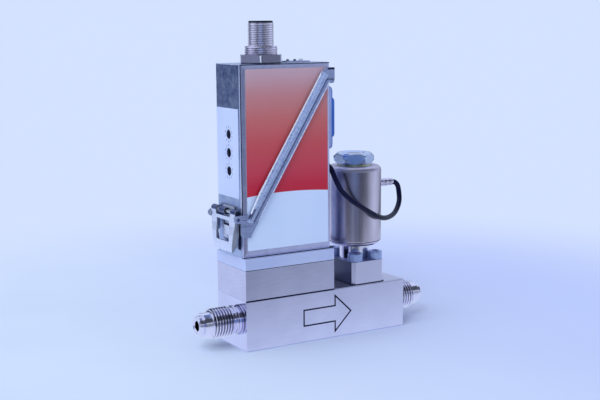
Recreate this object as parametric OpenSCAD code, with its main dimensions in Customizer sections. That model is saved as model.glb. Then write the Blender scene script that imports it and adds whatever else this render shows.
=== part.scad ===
// Thermal mass flow controller: a steel flow body with a bypass sensor, an
// electronics housing held down by a bail and latch, and a solenoid valve.
// X runs along the flow from inlet to outlet, Y from front to back, Z up.
// The origin is the middle of the flow body's underside.

/* [Flow body] */
// Length of the flow body along the flow
body_l = 87; // [85:0.5:90]
// Depth of the flow body from front to back
body_w = 28.3; // [28:0.1:31]
// Height of the flow body
body_h = 23.1; // [22.8:0.1:25]
// Chamfer along the body's long edges
body_chamfer = 0.4; // [0.2:0.1:0.8]
// Height of the port axis above the underside
port_z = 11.5; // [11:0.1:12]
// Diameter of the bore that holds the laminar element
main_bore_d = 9; // [8.4:0.1:9.6]
// Diameter of the passages from the valve seat to the outlet
passage_d = 3; // [2.4:0.1:3.4]
// Distance between the mounting holes in the underside
mount_pitch = 40; // [34:1:46]
// Diameter of the mounting holes
mount_hole_d = 4; // [3:0.5:5]
// Depth of the mounting holes
mount_hole_l = 5.5; // [4:0.1:6]

/* [Port fittings] */
// Diameter of the neck between body and thread
fit_neck_d = 12.8; // [12:0.1:14]
// Length of the neck
fit_neck_l = 2; // [1:0.1:3]
// Outer diameter of the fitting's thread
fit_thread_d = 14.29; // [14:0.01:15]
// Length of the thread
fit_thread_l = 9.9; // [8:0.1:12]
// Diameter of the plain shank in front of the thread
fit_shank_d = 11.5; // [11:0.1:12]
// Length of the plain shank
fit_shank_l = 4.3; // [3:0.1:5]
// Diameter of the nose that carries the sealing face
fit_nose_d = 9; // [8:0.1:10]
// Length of the nose
fit_nose_l = 2.3; // [1.5:0.1:3]
// Diameter of the gas bore through a fitting
fit_bore_d = 4.6; // [4:0.1:5]
// Diameter of the spigot that is held in the body
fit_spigot_d = 12; // [11:0.1:12.4]
// Length of the spigot
fit_spigot_l = 9; // [8:0.1:10]

/* [Sensor block and base plate] */
// Length of the sensor block along the flow
block_l = 47; // [46.8:0.1:48]
// Height of the sensor block
block_h = 14.2; // [13:0.1:16]
// Height of the plate under the housing
plate_h = 5.4; // [5:0.1:7]
// Distance from one sensor tap to the other
tap_pitch = 20; // [18:0.5:21]
// Diameter of the sensor taps
tap_d = 1.6; // [1:0.1:1.8]
// Outer diameter of the sensor tube
tube_d = 1; // [0.8:0.1:1.4]
// Height of the sensor tube above the sensor block
tube_h = 21; // [18:0.5:24]
// Outer diameter of the heater windings
winding_d = 2.6; // [2:0.1:3.4]
// Height of the cap over the sensor tube
sensor_cap_h = 21; // [20:0.5:24]
// Distance between the block's screws along the flow
block_screw_x = 38; // [36:0.5:39]
// Distance between the block's screws from front to back
block_screw_y = 17; // [16.6:0.1:18]

/* [Housing] */
// Width of the housing along the flow
housing_w = 46.4; // [46:0.1:46.8]
// Depth of the housing with its cover
housing_d = 24.4; // [24.2:0.1:26]
// Height of the housing
housing_h = 86.7; // [85:0.1:90]
// Thickness of the housing's walls
wall_t = 1.6; // [1.2:0.1:2]
// Thickness of the front cover
cover_t = 1.5; // [1.2:0.1:2]
// Radius of the housing's upright corners at the back
corner_r = 0.8; // [0.6:0.1:2]
// Bevel along the upper edge of the cover
cover_bevel = 0.5; // [0.2:0.1:0.8]
// Width of the front label
label_w = 42.6; // [40:0.1:43]
// Height of the front label
label_h = 81.3; // [78:0.1:82]
// Thickness of the front label
label_t = 0.3; // [0.2:0.1:0.5]
// Width of the side label from front to back
side_label_w = 20.7; // [18:0.1:21]
// Height of the side label
side_label_h = 40.2; // [36:0.1:42]
// Thickness of the side label
side_label_t = 0.15; // [0.1:0.05:0.3]
// Thickness of the circuit board
board_t = 1.6; // [1:0.1:2]

/* [Rotary switches] */
// Height of the middle rotary switch above the housing's foot
switch_z = 46.9; // [45:0.1:48]
// Distance from one rotary switch to the next
switch_pitch = 8.35; // [8:0.05:9]
// Diameter of the windows in the side wall
switch_window_d = 4.3; // [4.2:0.1:4.6]
// Diameter of a switch rotor
rotor_d = 3.6; // [3.2:0.1:3.6]
// Diameter of the stem on a rotor
rotor_stem_d = 2; // [1.6:0.1:2.4]

/* [Top connector] */
// Distance of the connector's axis from the housing's left wall
m12_from_left = 17.1; // [16:0.1:18]
// Outer diameter of the mating thread
m12_thread_d = 12; // [11.6:0.1:12.4]
// Length of the mating thread
m12_thread_l = 10.3; // [9:0.1:12]
// Outer diameter of the mounting thread
m12_base_d = 15.2; // [14:0.1:15.6]
// Length of the mounting thread above the hexagon
m12_base_l = 3.9; // [3:0.1:5]
// Width of the hexagon across its flats
m12_hex = 18; // [17:0.1:18.5]
// Height of the hexagon
m12_hex_h = 3.45; // [3:0.05:4]
// Thickness of the sealing ring
m12_seal_t = 0.4; // [0.3:0.1:0.8]
// Diameter of the contact carrier
m12_insert_d = 10.3; // [9.6:0.1:10.4]
// Height of the carrier above the thread
m12_insert_rise = 0.9; // [0.4:0.1:1.4]

/* [Side connector] */
// Height of the side connector's centre above the housing's foot
dsub_z = 60.5; // [59:0.5:62]
// Length of the connector's flange
dsub_flange_l = 30.8; // [30.4:0.1:31.4]
// Width of the connector's flange
dsub_flange_w = 12.5; // [12:0.1:13]
// Thickness of the flange
dsub_flange_t = 1; // [0.8:0.1:1.2]
// Length of the connector's shell
dsub_shell_l = 16.9; // [16.5:0.1:17.3]
// Width of the connector's shell
dsub_shell_w = 8.4; // [8:0.1:8.6]
// Height of the shell above the flange
dsub_shell_h = 5.1; // [4.6:0.1:5.6]
// Distance of a jack screw from the end of the flange
jack_inset = 2.9; // [2.8:0.1:3]
// Distance of the dust cap's end from the end of the flange
cap_inset = 0.65; // [0.5:0.05:0.8]
// Height of the dust cap's finger flange
cap_flange_h = 3.9; // [3.4:0.1:4.2]
// Thickness of the dust cap's walls
cap_wall = 0.8; // [0.6:0.1:1]

/* [Latch and bail] */
// Distance of the latch pin from the left wall
latch_out = 2.2; // [2.1:0.1:2.6]
// Height of the latch pin above the housing's foot
latch_z = 20.6; // [20:0.1:21.2]
// Diameter of the latch pin
latch_pin_d = 1.6; // [1.4:0.1:1.8]
// Diameter of the knuckles around the pin
knuckle_d = 3.2; // [3:0.1:3.4]
// Length of the lever below the pin
lever_l = 17.9; // [16:0.1:19]
// Width of the lever at the pin
lever_top_w = 24.4; // [24:0.1:24.6]
// Width of the lever at its lower end
lever_low_w = 17; // [15:0.5:19]
// Thickness of the lever's sheet
lever_t = 0.8; // [0.6:0.1:1]
// Width of the lever's window
window_w = 12.4; // [11:0.1:13]
// Height of the lever's window
window_h = 9.7; // [8:0.1:10]
// Thickness of the bail's straps
strap_t = 1.2; // [1:0.1:1.4]
// Width of the bail's straps
strap_w = 5.5; // [5:0.1:6]
// Thickness of the cross bar
bar_t = 1.1; // [0.9:0.1:1.3]
// Height of the cross bar and of the straps' upper tabs
bar_h = 5.4; // [5:0.1:6]

/* [Valve] */
// Distance of the valve axis from the middle of the body
valve_x = 24; // [23.6:0.1:24.6]
// Width of the valve block along the flow
valve_block_w = 18; // [17.6:0.1:18.6]
// Depth of the valve block from front to back
valve_block_d = 26; // [25.6:0.1:27]
// Height of the valve block with its foot
valve_block_h = 11; // [10:0.1:12]
// Chamfer on the valve block's upright corners
valve_block_chamfer = 1.5; // [1:0.1:2]
// Diameter of the chrome neck above the block
neck_d = 15; // [14.6:0.1:15.1]
// Height of the chrome neck
neck_h = 7.2; // [7:0.1:8]
// Outer diameter of the guide tube inside the coil
guide_d = 10; // [9.6:0.1:10.4]
// Diameter of the plunger
plunger_d = 7.1; // [6.8:0.1:7.4]
// Lift of the plunger off its seat
plunger_lift = 0.4; // [0.3:0.1:0.6]
// Outer diameter of the coil's can
can_d = 26.4; // [26:0.1:27.4]
// Height of the coil's can
can_h = 36.3; // [35:0.1:38]
// Thickness of the can's wall
can_wall = 1; // [0.8:0.1:1.4]
// Radius of the can's upper edge
can_round = 2; // [1.5:0.1:2.5]
// Height of the ring under the can
can_ring_h = 1.7; // [1.4:0.1:2]
// Width of the coil's nut across its flats
coil_nut_af = 17; // [16:0.1:18]
// Height of the coil's nut
coil_nut_h = 5.3; // [5:0.1:6]

/* [Hidden] */

$fn = 48;

// How far a cut runs past the face that it opens
overrun = 1;
// Free space between pieces that move past each other
play = 0.3;
// Radial play of a pin or a plunger in its bore
pin_play = 0.05;
// Angle of a quarter turn, and between a hexagon's corner and its flat
quarter = 90;
half_flat = 30;

// Levels that stack on the flow body
block_z = body_h;
plate_z = block_z + block_h;
foot_z = plate_z + plate_h;
top_z = foot_z + housing_h;

// Sides of the blocks that stand on the flow body
left_x = -body_l / 2;
block_right_x = left_x + block_l;
right_x = left_x + housing_w;
sensor_x = left_x + block_l / 2;
front_y = -housing_d / 2;
back_y = housing_d / 2;
shell_front_y = front_y + cover_t;
mid_housing_x = left_x + housing_w / 2;

// Flow path inside the body
tap_x = tap_pitch / 2;
spigot_x = body_l / 2 - fit_spigot_l;
riser_d = 1.8;
riser_out = 4.4;
main_end_x = valve_x - riser_out + riser_d / 2 + overrun / 5;
filter_t = 1.5;
disc_t = 1.4;
disc_gap = 0.4;
disc_count = 9;
rod_d = 2.4;
stack_l = disc_count * (disc_t + disc_gap) - disc_gap;
stack_x = sensor_x - stack_l / 2;

// Long screws that hold the plate and the sensor block on the body
m3_d = 3;
m3_clear_d = 3.4;
m3_head_d = 5.5;
m3_head_h = 3;
m3_hex = 2.5;
m3_grip = 8;

// Seals of the sensor taps and of the valve block
tap_seal_d = 4.4;
tap_seal_section = 1;
valve_seal_d = 13;
valve_seal_section = 1;

// Sensor flange, tube and cap
window_gap = 0.4;
flange_margin = 2.6;
flange_l = tap_pitch + 2 * flange_margin;
flange_w = 14.2;
sensor_bend_r = 3;
winding_l = 5;
winding_gap = 1.4;
sensor_cap_wall = 0.8;
sensor_cap_w = 11;

// Rotary switches
switch_y = 0;
switch_body_w = 7.4;
switch_body_t = 4.6;
switch_wall_gap = 0.4;
rotor_sink = 0.25;
rotor_slot_w = 0.6;
rotor_slot_d = 0.5;
stem_l = 2;

// Indicator plate, lamps and push button on the top
plate_top_t = 0.65;
plate_top_w = 8;
plate_top_l = 12.4;
plate_from_right = 5.8;
plate_top_x = right_x - plate_from_right - plate_top_l;
lamp_d = 1.6;
lamp_from_right = 11.6;
lamp_pitch = 3.8;
lamps_at = [for (i = [0, 1]) right_x - lamp_from_right - i * lamp_pitch];
lamp_l = 3.4;
button_d = 1.9;
button_from_right = 8.4;
button_x = right_x - button_from_right;
button_l = 5.2;
button_travel = 0.4;
button_pressed_rise = 0.4;
button_rise = plate_top_t + button_pressed_rise + button_travel;

// Top connector
m12_x = left_x + m12_from_left;
m12_shank_l = 6;
m12_hex_z = top_z + m12_seal_t;
m12_base_z = m12_hex_z + m12_hex_h;
m12_thread_z = m12_base_z + m12_base_l;
m12_end_z = m12_thread_z + m12_thread_l;
m12_nut_af = 19;
m12_nut_h = 3;
m12_pin_d = 1;
m12_pin_ring_d = 6.4;
m12_pin_count = 5;
m12_key_w = 1;
m12_tail_l = 4;
m12_socket_l = 6;

// Circuit board and what stands on it
board_gap = 1;
boss_d = 4.4;
board_y = back_y - wall_t - board_gap - board_t;
board_side_gap = 0.9;
board_left_x = left_x + wall_t + board_side_gap;
board_right_x = right_x - wall_t - board_side_gap;
board_low_z = foot_z + board_gap;
board_top_gap = 3.7;
board_h = top_z - m12_shank_l - m12_tail_l - board_top_gap - board_low_z;
board_boss_inset = 4;
chip_w = 9;
chip_t = 1.6;
relay_w = 12;
relay_t = 5;
header_l = 16;
header_t = 4;

// Side connector and its dust cap
dsub_cz = foot_z + dsub_z;
dsub_x = right_x + dsub_flange_t;
dsub_pitch = dsub_flange_l - 2 * jack_inset;
cap_l = dsub_flange_l - 2 * cap_inset;
dsub_shell_wall = 0.5;
dsub_slope = 10;
dsub_body_l = 8;
dsub_floor = 0.8;
dsub_pin_d = 1;
dsub_pin_pitch = 2.77;
dsub_row_pitch = 2.84;
dsub_pin_rise = 4.4;
dsub_tail = 3;
jack_af = 4.8;
jack_h = 3.2;
jack_d = 3;
jack_l = 5.6;
cap_gap = 0.3;
cap_bulge_l = dsub_shell_l + 2 * (cap_gap + cap_wall);
cap_bulge_w = dsub_shell_w + 2 * (cap_gap + cap_wall);

// Latch: the lever turns on pin A, the bail on the pivots B
pin_a_x = left_x - latch_out;
pin_a_z = foot_z + latch_z;
pivot_b_share = 0.25;
pivot_drop = 2.4;
pin_b_x = pin_a_x - pivot_b_share * knuckle_d;
pin_b_z = pin_a_z - pivot_drop;
lever_out_x = pin_a_x - knuckle_d / 2;
lever_low_z = pin_a_z - lever_l;
lever_drop = 0.5;
lever_top_z = pin_a_z - knuckle_d / 2 - lever_drop;
lever_bulge = 0.4;
lever_flat_share = 0.25;
lever_mid_share = 0.5;
lever_toe_share = 0.15;
lever_wall_gap = 1.5;
lever_knuckle_y = 9.4;
lever_knuckle_w = 4.9;
bracket_knuckle_y = 1.7;
bracket_knuckle_w = 5.8;
bracket_t = 0.8;
bracket_w = 11;
bracket_low = 12.8;
bracket_rise = 2.2;
tongue_w = 6;
tongue_t = 1.1;
window_low = 4.5;
flange_lug_d = 3;
pivot_d = 1.3;

// Bail: straps, upper tabs, feet and cross bar
strap_gap = 0.33;
strap_y = -front_y + strap_gap;
strap_aim_share = 0.81;
lug_out = 1.5;
lug_h = 2.2;
lug_gap = 0.55;
lug_top_z = dsub_cz + dsub_flange_l / 2 + lug_gap + lug_h;
bar_z = lug_top_z + play;
bar_gap = 0.45;
bar_x = right_x + bar_gap;
tab_l = 4.4;
foot_h = 8.55;
foot_w = 5;
foot_round = 2;
foot_out = 1.5;
foot_x = left_x - foot_out;
ear_d = 3.4;

// Valve block, sleeve, plunger and coil
valve_foot_h = 0.4;
valve_foot_inset = 0.6;
valve_screw_x = 5.7;
valve_screw_y = 9.6;
m4_d = 4;
m4_clear_d = 4.4;
m4_head_d = 7;
m4_head_h = 4;
m4_hex = 3;
m4_grip = 8;
chamber_d = 11.2;
seat_d = 6;
seat_sink = 2;
seat_rise = 2.5;
seat_tip_d = 2.6;
seat_cone = 0.5;
seat_orifice_d = 1.2;
seat_gap = 0.05;
valve_top_z = block_z + valve_block_h;
spigot_l = 6.2;
neck_top_z = valve_top_z + neck_h;
can_z = neck_top_z + can_ring_h;
can_top_z = can_z + can_h;
washer_t = 0.8;
washer_band = 3.2;
washer_d = guide_d + 2 * washer_band;
nut_z = can_top_z + washer_t;
nut_top_z = nut_z + coil_nut_h;
nut_chamfer = 1;
sleeve_short = 0.5;
sleeve_top_z = nut_top_z - sleeve_short;
sleeve_bore_d = plunger_d + 2 * pin_play;
seat_top_z = block_z + seat_rise;
plunger_z = seat_top_z + seat_cone + seat_gap;
plunger_l = 32;
plunger_top_z = plunger_z + plunger_l;
spring_pressed_l = 3.6;
spring_l = spring_pressed_l + plunger_lift;
spring_od = 5.2;
spring_id = 3.6;
core_z = plunger_top_z + spring_l;
can_base_t = 1.2;
can_ring_d = 25;
can_ring_round = 0.8;
bobbin_wall = 1;
bobbin_flange_t = 1.2;
bobbin_gap = 0.6;
bobbin_z = can_z + can_base_t;
bobbin_top_z = can_top_z - 2 * can_wall;
bobbin_d = can_d - 2 * can_wall - 2 * bobbin_gap;
winding_gap_r = 0.8;

// Coil lead: gland on the can, grommet in the housing's right wall
lead_d = 2.5;
gland_up = 26.3;
gland_z = can_z + gland_up;
gland_l = 9.4;
gland_d = 4;
gland_end_d = 3.2;
gland_sink = 1;
grommet_y = -7.5;
grommet_up = 38.3;
grommet_z = foot_z + grommet_up;
grommet_d = 3.8;
grommet_flange_d = 5.4;
grommet_flange_t = 1;
// Hand-chosen points along the lead, first from the gland's end, then from the wall
lead_from_gland = [[-1.6, 0, 0], [-0.1, 0, 0], [1.6, -0.4, -0.5], [2.6, -1.2, -2.1],
    [2.5, -2.4, -5.1], [1.3, -4.4, -8.8], [-1.2, -6.4, -11.9], [-4.8, -8.8, -14.1],
    [-9.4, -11.4, -15.1], [-14.6, -14, -14.9], [-19.8, -16, -13.3], [-24.2, -16.6, -11]];
lead_to_wall = [[15.1, -9.1, -20], [10.7, -8.5, -17.1], [7.5, -7.3, -14.3],
    [5.3, -5.7, -11.5], [4.3, -4.3, -8.7], [3.7, -2.9, -6], [3.3, -1.5, -3.4],
    [2.8, -0.5, -1.4], [1.7, -0.1, -0.2], [0.3, 0, 0], [-1.5, 0, 0]];
gland_end_at = [valve_x + can_d / 2 + gland_l, 0, gland_z];
lead_route = concat([for (p = lead_from_gland) gland_end_at + p],
    [for (p = lead_to_wall) [right_x, grommet_y, grommet_z] + p]);
lead_sides = 8;
lead_steps = 2;

// Round bar along X from low to high
module bar_x(low, high, d, y = 0, z = 0) {
    translate([low, y, z]) rotate([0, quarter, 0]) cylinder(d = d, h = high - low);
}

// Round bar along Y from low to high
module bar_y(low, high, d, x = 0, z = 0) {
    translate([x, low, z]) rotate([-quarter, 0, 0]) cylinder(d = d, h = high - low);
}

// Round bar along Z from low to high
module bar_z(low, high, d, x = 0, y = 0) {
    translate([x, y, low]) cylinder(d = d, h = high - low);
}

// Block between two corners
module box(low, high) {
    translate(low) cube(high - low);
}

// Outline in the XZ plane, extruded along Y from low to high
module plate_y(low, high) {
    translate([0, high, 0]) rotate([quarter, 0, 0]) linear_extrude(high - low) children();
}

// Outline in the YZ plane, extruded along X from low to high
module plate_x(low, high) {
    translate([low, 0, 0]) rotate([quarter, 0, quarter]) linear_extrude(high - low) children();
}

// Hexagonal bar along Z, with its corners on the X axis unless it is turned
module hex_z(low, high, af, turn = 0) {
    translate([0, 0, low]) rotate([0, 0, turn]) cylinder(d = af / cos(half_flat), h = high - low, $fn = 6);
}

// Ring of round section that lies flat at the height z of its lowest point
module seal_ring(d, section, x, y, z) {
    translate([x, y, z + section / 2]) rotate_extrude() translate([d / 2, 0]) circle(d = section);
}

// Groove that a seal ring lies in, open towards -Z
module seal_groove(d, section, x, y, z) {
    translate([x, y, z - overrun]) difference() {
        cylinder(d = d + section, h = section + overrun);
        translate([0, 0, -overrun]) cylinder(d = d - section, h = section + 3 * overrun);
    }
}

// Screw with a round head and a hexagon socket, head seat at height z
module socket_screw(d, head_d, head_h, hex, shank_l, x, y, z) {
    translate([x, y, z]) {
        difference() {
            cylinder(d = head_d, h = head_h);
            hex_z(head_h / 2, head_h + overrun, hex);
        }
        translate([0, 0, -shank_l]) cylinder(d = d, h = shank_l);
    }
}

// Places of the four long block screws and of the four valve screws
block_screws_at = [for (sx = [-1, 1], sy = [-1, 1])
    [sensor_x + sx * block_screw_x / 2, sy * block_screw_y / 2]];
valve_screws_at = [for (sx = [-1, 1], sy = [-1, 1])
    [valve_x + sx * valve_screw_x, sy * valve_screw_y]];

module flow_body() {
    color("silver") difference() {
        plate_x(-body_l / 2, body_l / 2) polygon([
            [-body_w / 2 + body_chamfer, 0], [body_w / 2 - body_chamfer, 0],
            [body_w / 2, body_chamfer], [body_w / 2, body_h - body_chamfer],
            [body_w / 2 - body_chamfer, body_h], [-body_w / 2 + body_chamfer, body_h],
            [-body_w / 2, body_h - body_chamfer], [-body_w / 2, body_chamfer]]);
        bar_x(-body_l / 2 - overrun, -spigot_x, fit_spigot_d, 0, port_z);
        bar_x(spigot_x, body_l / 2 + overrun, fit_spigot_d, 0, port_z);
        bar_x(-spigot_x - overrun, main_end_x, main_bore_d, 0, port_z);
        bar_x(valve_x, spigot_x + overrun, passage_d, 0, port_z);
        bar_z(port_z, body_h, passage_d, valve_x);
        bar_z(body_h - seat_sink, body_h + overrun, seat_d, valve_x);
        bar_z(port_z, body_h + overrun, riser_d, valve_x - riser_out);
        for (side = [-1, 1])
            bar_z(port_z, body_h + overrun, tap_d, sensor_x + side * tap_x);
        for (side = [-1, 1])
            bar_z(-overrun, mount_hole_l, mount_hole_d, side * mount_pitch / 2);
        for (p = block_screws_at)
            bar_z(body_h - m3_grip, body_h + overrun, m3_d, p[0], p[1]);
        for (p = valve_screws_at)
            bar_z(body_h - m4_grip, body_h + overrun, m4_d, p[0], p[1]);
    }
}

// Port fitting that points along +X from the body's end face
module port_fitting() {
    thread_x = body_l / 2 + fit_neck_l;
    shank_x = thread_x + fit_thread_l;
    nose_x = shank_x + fit_shank_l;
    end_x = nose_x + fit_nose_l;
    lead_in = fit_thread_d / 2 - fit_shank_d / 2;
    translate([0, 0, port_z]) rotate([0, quarter, 0]) rotate_extrude() polygon([
        [fit_bore_d / 2, spigot_x], [fit_spigot_d / 2, spigot_x],
        [fit_spigot_d / 2, body_l / 2], [fit_neck_d / 2, body_l / 2],
        [fit_neck_d / 2, thread_x], [fit_thread_d / 2, thread_x],
        [fit_thread_d / 2, shank_x - lead_in / 2], [fit_shank_d / 2 + lead_in / 2, shank_x],
        [fit_shank_d / 2, shank_x], [fit_shank_d / 2, nose_x], [fit_nose_d / 2, nose_x],
        [fit_nose_d / 2, end_x], [fit_bore_d / 2 + fit_nose_l / 4, end_x],
        [fit_bore_d / 2, end_x - fit_nose_l / 4]]);
}

module inlet_fitting() {
    color("lightgray") mirror([1, 0, 0]) port_fitting();
}

module outlet_fitting() {
    color("lightgray") port_fitting();
}

module inlet_filter() {
    color("dimgray") bar_x(-spigot_x, -spigot_x + filter_t, main_bore_d, 0, port_z);
}

module laminar_rod() {
    color("gray") bar_x(-spigot_x + filter_t, stack_x + stack_l + overrun, rod_d, 0, port_z);
}

module laminar_discs() {
    color("darkgray") for (i = [0 : disc_count - 1]) difference() {
        bar_x(stack_x + i * (disc_t + disc_gap), stack_x + i * (disc_t + disc_gap) + disc_t,
            main_bore_d, 0, port_z);
        bar_x(-spigot_x, main_end_x, rod_d, 0, port_z);
    }
}

module sensor_block() {
    color("silver") difference() {
        box([left_x, -body_w / 2, block_z], [block_right_x, body_w / 2, plate_z]);
        for (side = [-1, 1]) {
            bar_z(block_z - overrun, plate_z + overrun, tap_d, sensor_x + side * tap_x);
            seal_groove(tap_seal_d, tap_seal_section, sensor_x + side * tap_x, 0, block_z);
        }
        for (p = block_screws_at)
            bar_z(block_z - overrun, plate_z + overrun, m3_clear_d, p[0], p[1]);
    }
}

module sensor_block_seals() {
    color("black") for (side = [-1, 1])
        seal_ring(tap_seal_d, tap_seal_section, sensor_x + side * tap_x, 0, block_z);
}

module block_screws() {
    color("gray") for (p = block_screws_at)
        socket_screw(m3_d, m3_head_d, m3_head_h, m3_hex,
            plate_h - m3_head_h + block_h + m3_grip, p[0], p[1], foot_z - m3_head_h);
}

module base_plate() {
    color("gainsboro") difference() {
        box([left_x, -body_w / 2, plate_z], [block_right_x, body_w / 2, foot_z]);
        box([sensor_x - flange_l / 2 - window_gap, -flange_w / 2 - window_gap, plate_z - overrun],
            [sensor_x + flange_l / 2 + window_gap, flange_w / 2 + window_gap, foot_z + overrun]);
        for (p = block_screws_at) {
            bar_z(plate_z - overrun, foot_z + overrun, m3_clear_d, p[0], p[1]);
            bar_z(foot_z - m3_head_h, foot_z + overrun, m3_head_d + window_gap, p[0], p[1]);
        }
    }
}

module sensor_flange() {
    color("lightsteelblue") difference() {
        box([sensor_x - flange_l / 2, -flange_w / 2, plate_z],
            [sensor_x + flange_l / 2, flange_w / 2, foot_z]);
        for (side = [-1, 1])
            bar_z(plate_z - overrun, foot_z + overrun, tube_d, sensor_x + side * tap_x);
    }
}

// Upright leg and quarter bend of the sensor tube, on the +X side of x = 0
module tube_half() {
    bend_z = plate_z + tube_h - sensor_bend_r;
    bar_z(plate_z, bend_z, tube_d, tap_x);
    translate([tap_x - sensor_bend_r, 0, bend_z]) rotate([quarter, 0, 0])
        rotate_extrude(angle = quarter) translate([sensor_bend_r, 0]) circle(d = tube_d);
}

module sensor_tube() {
    color("silver") translate([sensor_x, 0, 0]) {
        tube_half();
        mirror([1, 0, 0]) tube_half();
        bar_x(-tap_x + sensor_bend_r, tap_x - sensor_bend_r, tube_d, 0, plate_z + tube_h);
    }
}

module sensor_windings() {
    run_z = plate_z + tube_h;
    color("peru") for (side = [-1, 1])
        translate([sensor_x + side * (winding_l + winding_gap) / 2, 0, 0]) difference() {
            bar_x(-winding_l / 2, winding_l / 2, winding_d, 0, run_z);
            bar_x(-winding_l, winding_l, tube_d, 0, run_z);
        }
}

module sensor_cap() {
    cap_x = flange_l / 2;
    cap_y = sensor_cap_w / 2;
    color("dimgray") translate([sensor_x, 0, foot_z]) difference() {
        box([-cap_x, -cap_y, 0], [cap_x, cap_y, sensor_cap_h]);
        box([-cap_x + sensor_cap_wall, -cap_y + sensor_cap_wall, -overrun],
            [cap_x - sensor_cap_wall, cap_y - sensor_cap_wall, sensor_cap_h - sensor_cap_wall]);
    }
}

// Plan of the shell, drawn in from its outer faces, with round corners at the back
module shell_plan(inset) {
    r = max(corner_r - inset, corner_r / 4);
    translate([left_x + inset, shell_front_y])
        square([housing_w - 2 * inset, back_y - inset - r - shell_front_y]);
    translate([left_x + inset + r, shell_front_y])
        square([housing_w - 2 * inset - 2 * r, back_y - inset - shell_front_y]);
    for (x = [left_x + inset + r, right_x - inset - r])
        translate([x, back_y - inset - r]) circle(r = r);
}

// Places of the bosses that carry the circuit board, in the XZ plane
board_bosses_at = [for (x = [board_left_x + board_boss_inset, board_right_x - board_boss_inset],
    z = [board_low_z + board_boss_inset, board_low_z + board_h - board_boss_inset]) [x, z]];

module housing_shell() {
    color("lightslategray") difference() {
        union() {
            difference() {
                translate([0, 0, foot_z]) linear_extrude(housing_h) shell_plan(0);
                translate([0, 0, foot_z - overrun])
                    linear_extrude(housing_h + overrun - wall_t) shell_plan(wall_t);
                box([left_x + wall_t, shell_front_y - overrun, foot_z - overrun],
                    [right_x - wall_t, shell_front_y + overrun, top_z - wall_t]);
            }
            for (p = board_bosses_at)
                bar_y(board_y + board_t, back_y - wall_t / 2, boss_d, p[0], p[1]);
            plate_y(shell_front_y + 2 * lug_out, -shell_front_y - 2 * lug_out)
                translate([right_x, lug_top_z - lug_h])
                    square([lug_out, lug_h]);
        }
        for (i = [-1 : 1])
            bar_x(left_x - overrun, left_x + wall_t + overrun, switch_window_d, switch_y,
                foot_z + switch_z + i * switch_pitch);
        bar_z(top_z - wall_t - overrun, top_z + overrun, m12_base_d, m12_x);
        for (x = lamps_at)
            bar_z(top_z - wall_t - overrun, top_z + overrun, lamp_d, x);
        bar_z(top_z - wall_t - overrun, top_z + overrun, button_d + 2 * play, button_x);
        box([right_x - wall_t - overrun, -dsub_shell_w / 2 - play,
            dsub_cz - dsub_shell_l / 2 - play],
            [right_x + overrun, dsub_shell_w / 2 + play, dsub_cz + dsub_shell_l / 2 + play]);
        for (side = [-1, 1])
            bar_x(right_x - wall_t - overrun, right_x + overrun, jack_d, 0,
                dsub_cz + side * dsub_pitch / 2);
        bar_x(right_x - wall_t - overrun, right_x + overrun, grommet_d, grommet_y, grommet_z);
    }
}

// Label corner nearest the left wall and the housing's foot
label_left_share = 0.61;
label_foot_share = 0.6;
label_x = left_x + (housing_w - label_w) * label_left_share;
label_z = foot_z + (housing_h - label_h) * label_foot_share;

module housing_cover() {
    color("slategray") difference() {
        plate_x(left_x, right_x) polygon([[shell_front_y, foot_z], [shell_front_y, top_z],
            [front_y + cover_bevel, top_z], [front_y, top_z - cover_bevel], [front_y, foot_z]]);
        box([label_x, front_y - overrun, label_z],
            [label_x + label_w, front_y + label_t, label_z + label_h]);
    }
}

module front_label() {
    color("crimson") box([label_x, front_y, label_z],
        [label_x + label_w, front_y + label_t, label_z + label_h]);
}

module side_label() {
    low_z = foot_z + switch_z - side_label_h / 2;
    side_y = back_y - corner_r - side_label_w;
    color("white") difference() {
        box([left_x - side_label_t, side_y, low_z],
            [left_x, side_y + side_label_w, low_z + side_label_h]);
        for (i = [-1 : 1])
            bar_x(left_x - overrun, left_x + overrun, switch_window_d, switch_y,
                foot_z + switch_z + i * switch_pitch);
    }
}

module circuit_board() {
    color("seagreen") box([board_left_x, board_y, board_low_z],
        [board_right_x, board_y + board_t, board_low_z + board_h]);
}

// Component of width w and height h whose back lies on the board
module on_board(x, z, w, h, t) {
    box([x - w / 2, board_y - t, z - h / 2], [x + w / 2, board_y, z + h / 2]);
}

module board_components() {
    mid_z = board_low_z + board_h / 2;
    color("darkslategray") {
        on_board(mid_housing_x, mid_z, chip_w, chip_w, chip_t);
        on_board(mid_housing_x - chip_w, mid_z + 2 * chip_w, chip_w / 2, chip_w, chip_t);
        on_board(mid_housing_x + chip_w, mid_z - chip_w, chip_w / 2, chip_w, chip_t);
        on_board(mid_housing_x + chip_w, mid_z - 3 * chip_w, relay_w, relay_w / 2, relay_t / 2);
        on_board(mid_housing_x, board_low_z + board_h - header_t, header_l, header_t, header_t);
    }
}

module rotary_switch_bodies() {
    body_x = left_x + wall_t + switch_wall_gap;
    color("royalblue") for (i = [-1 : 1]) {
        z = foot_z + switch_z + i * switch_pitch;
        difference() {
            box([body_x, switch_y - switch_body_w / 2, z - switch_body_w / 2],
                [body_x + switch_body_t, board_y, z + switch_body_w / 2]);
            bar_x(body_x - overrun, body_x + stem_l + play, rotor_stem_d + 2 * pin_play,
                switch_y, z);
        }
    }
}

// Rotor of the switch that lies step places above the middle one
module switch_rotor(step) {
    body_x = left_x + wall_t + switch_wall_gap;
    face_x = left_x + rotor_sink;
    z = foot_z + switch_z + step * switch_pitch;
    color("white") difference() {
        union() {
            bar_x(face_x, body_x - pin_play, rotor_d, switch_y, z);
            bar_x(face_x, body_x + stem_l, rotor_stem_d, switch_y, z);
        }
        box([face_x - overrun, switch_y - rotor_slot_w / 2, z - rotor_d],
            [face_x + rotor_slot_d, switch_y + rotor_slot_w / 2, z + rotor_d]);
    }
}

module switch_rotor_1() {
    switch_rotor(1);
}

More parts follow.
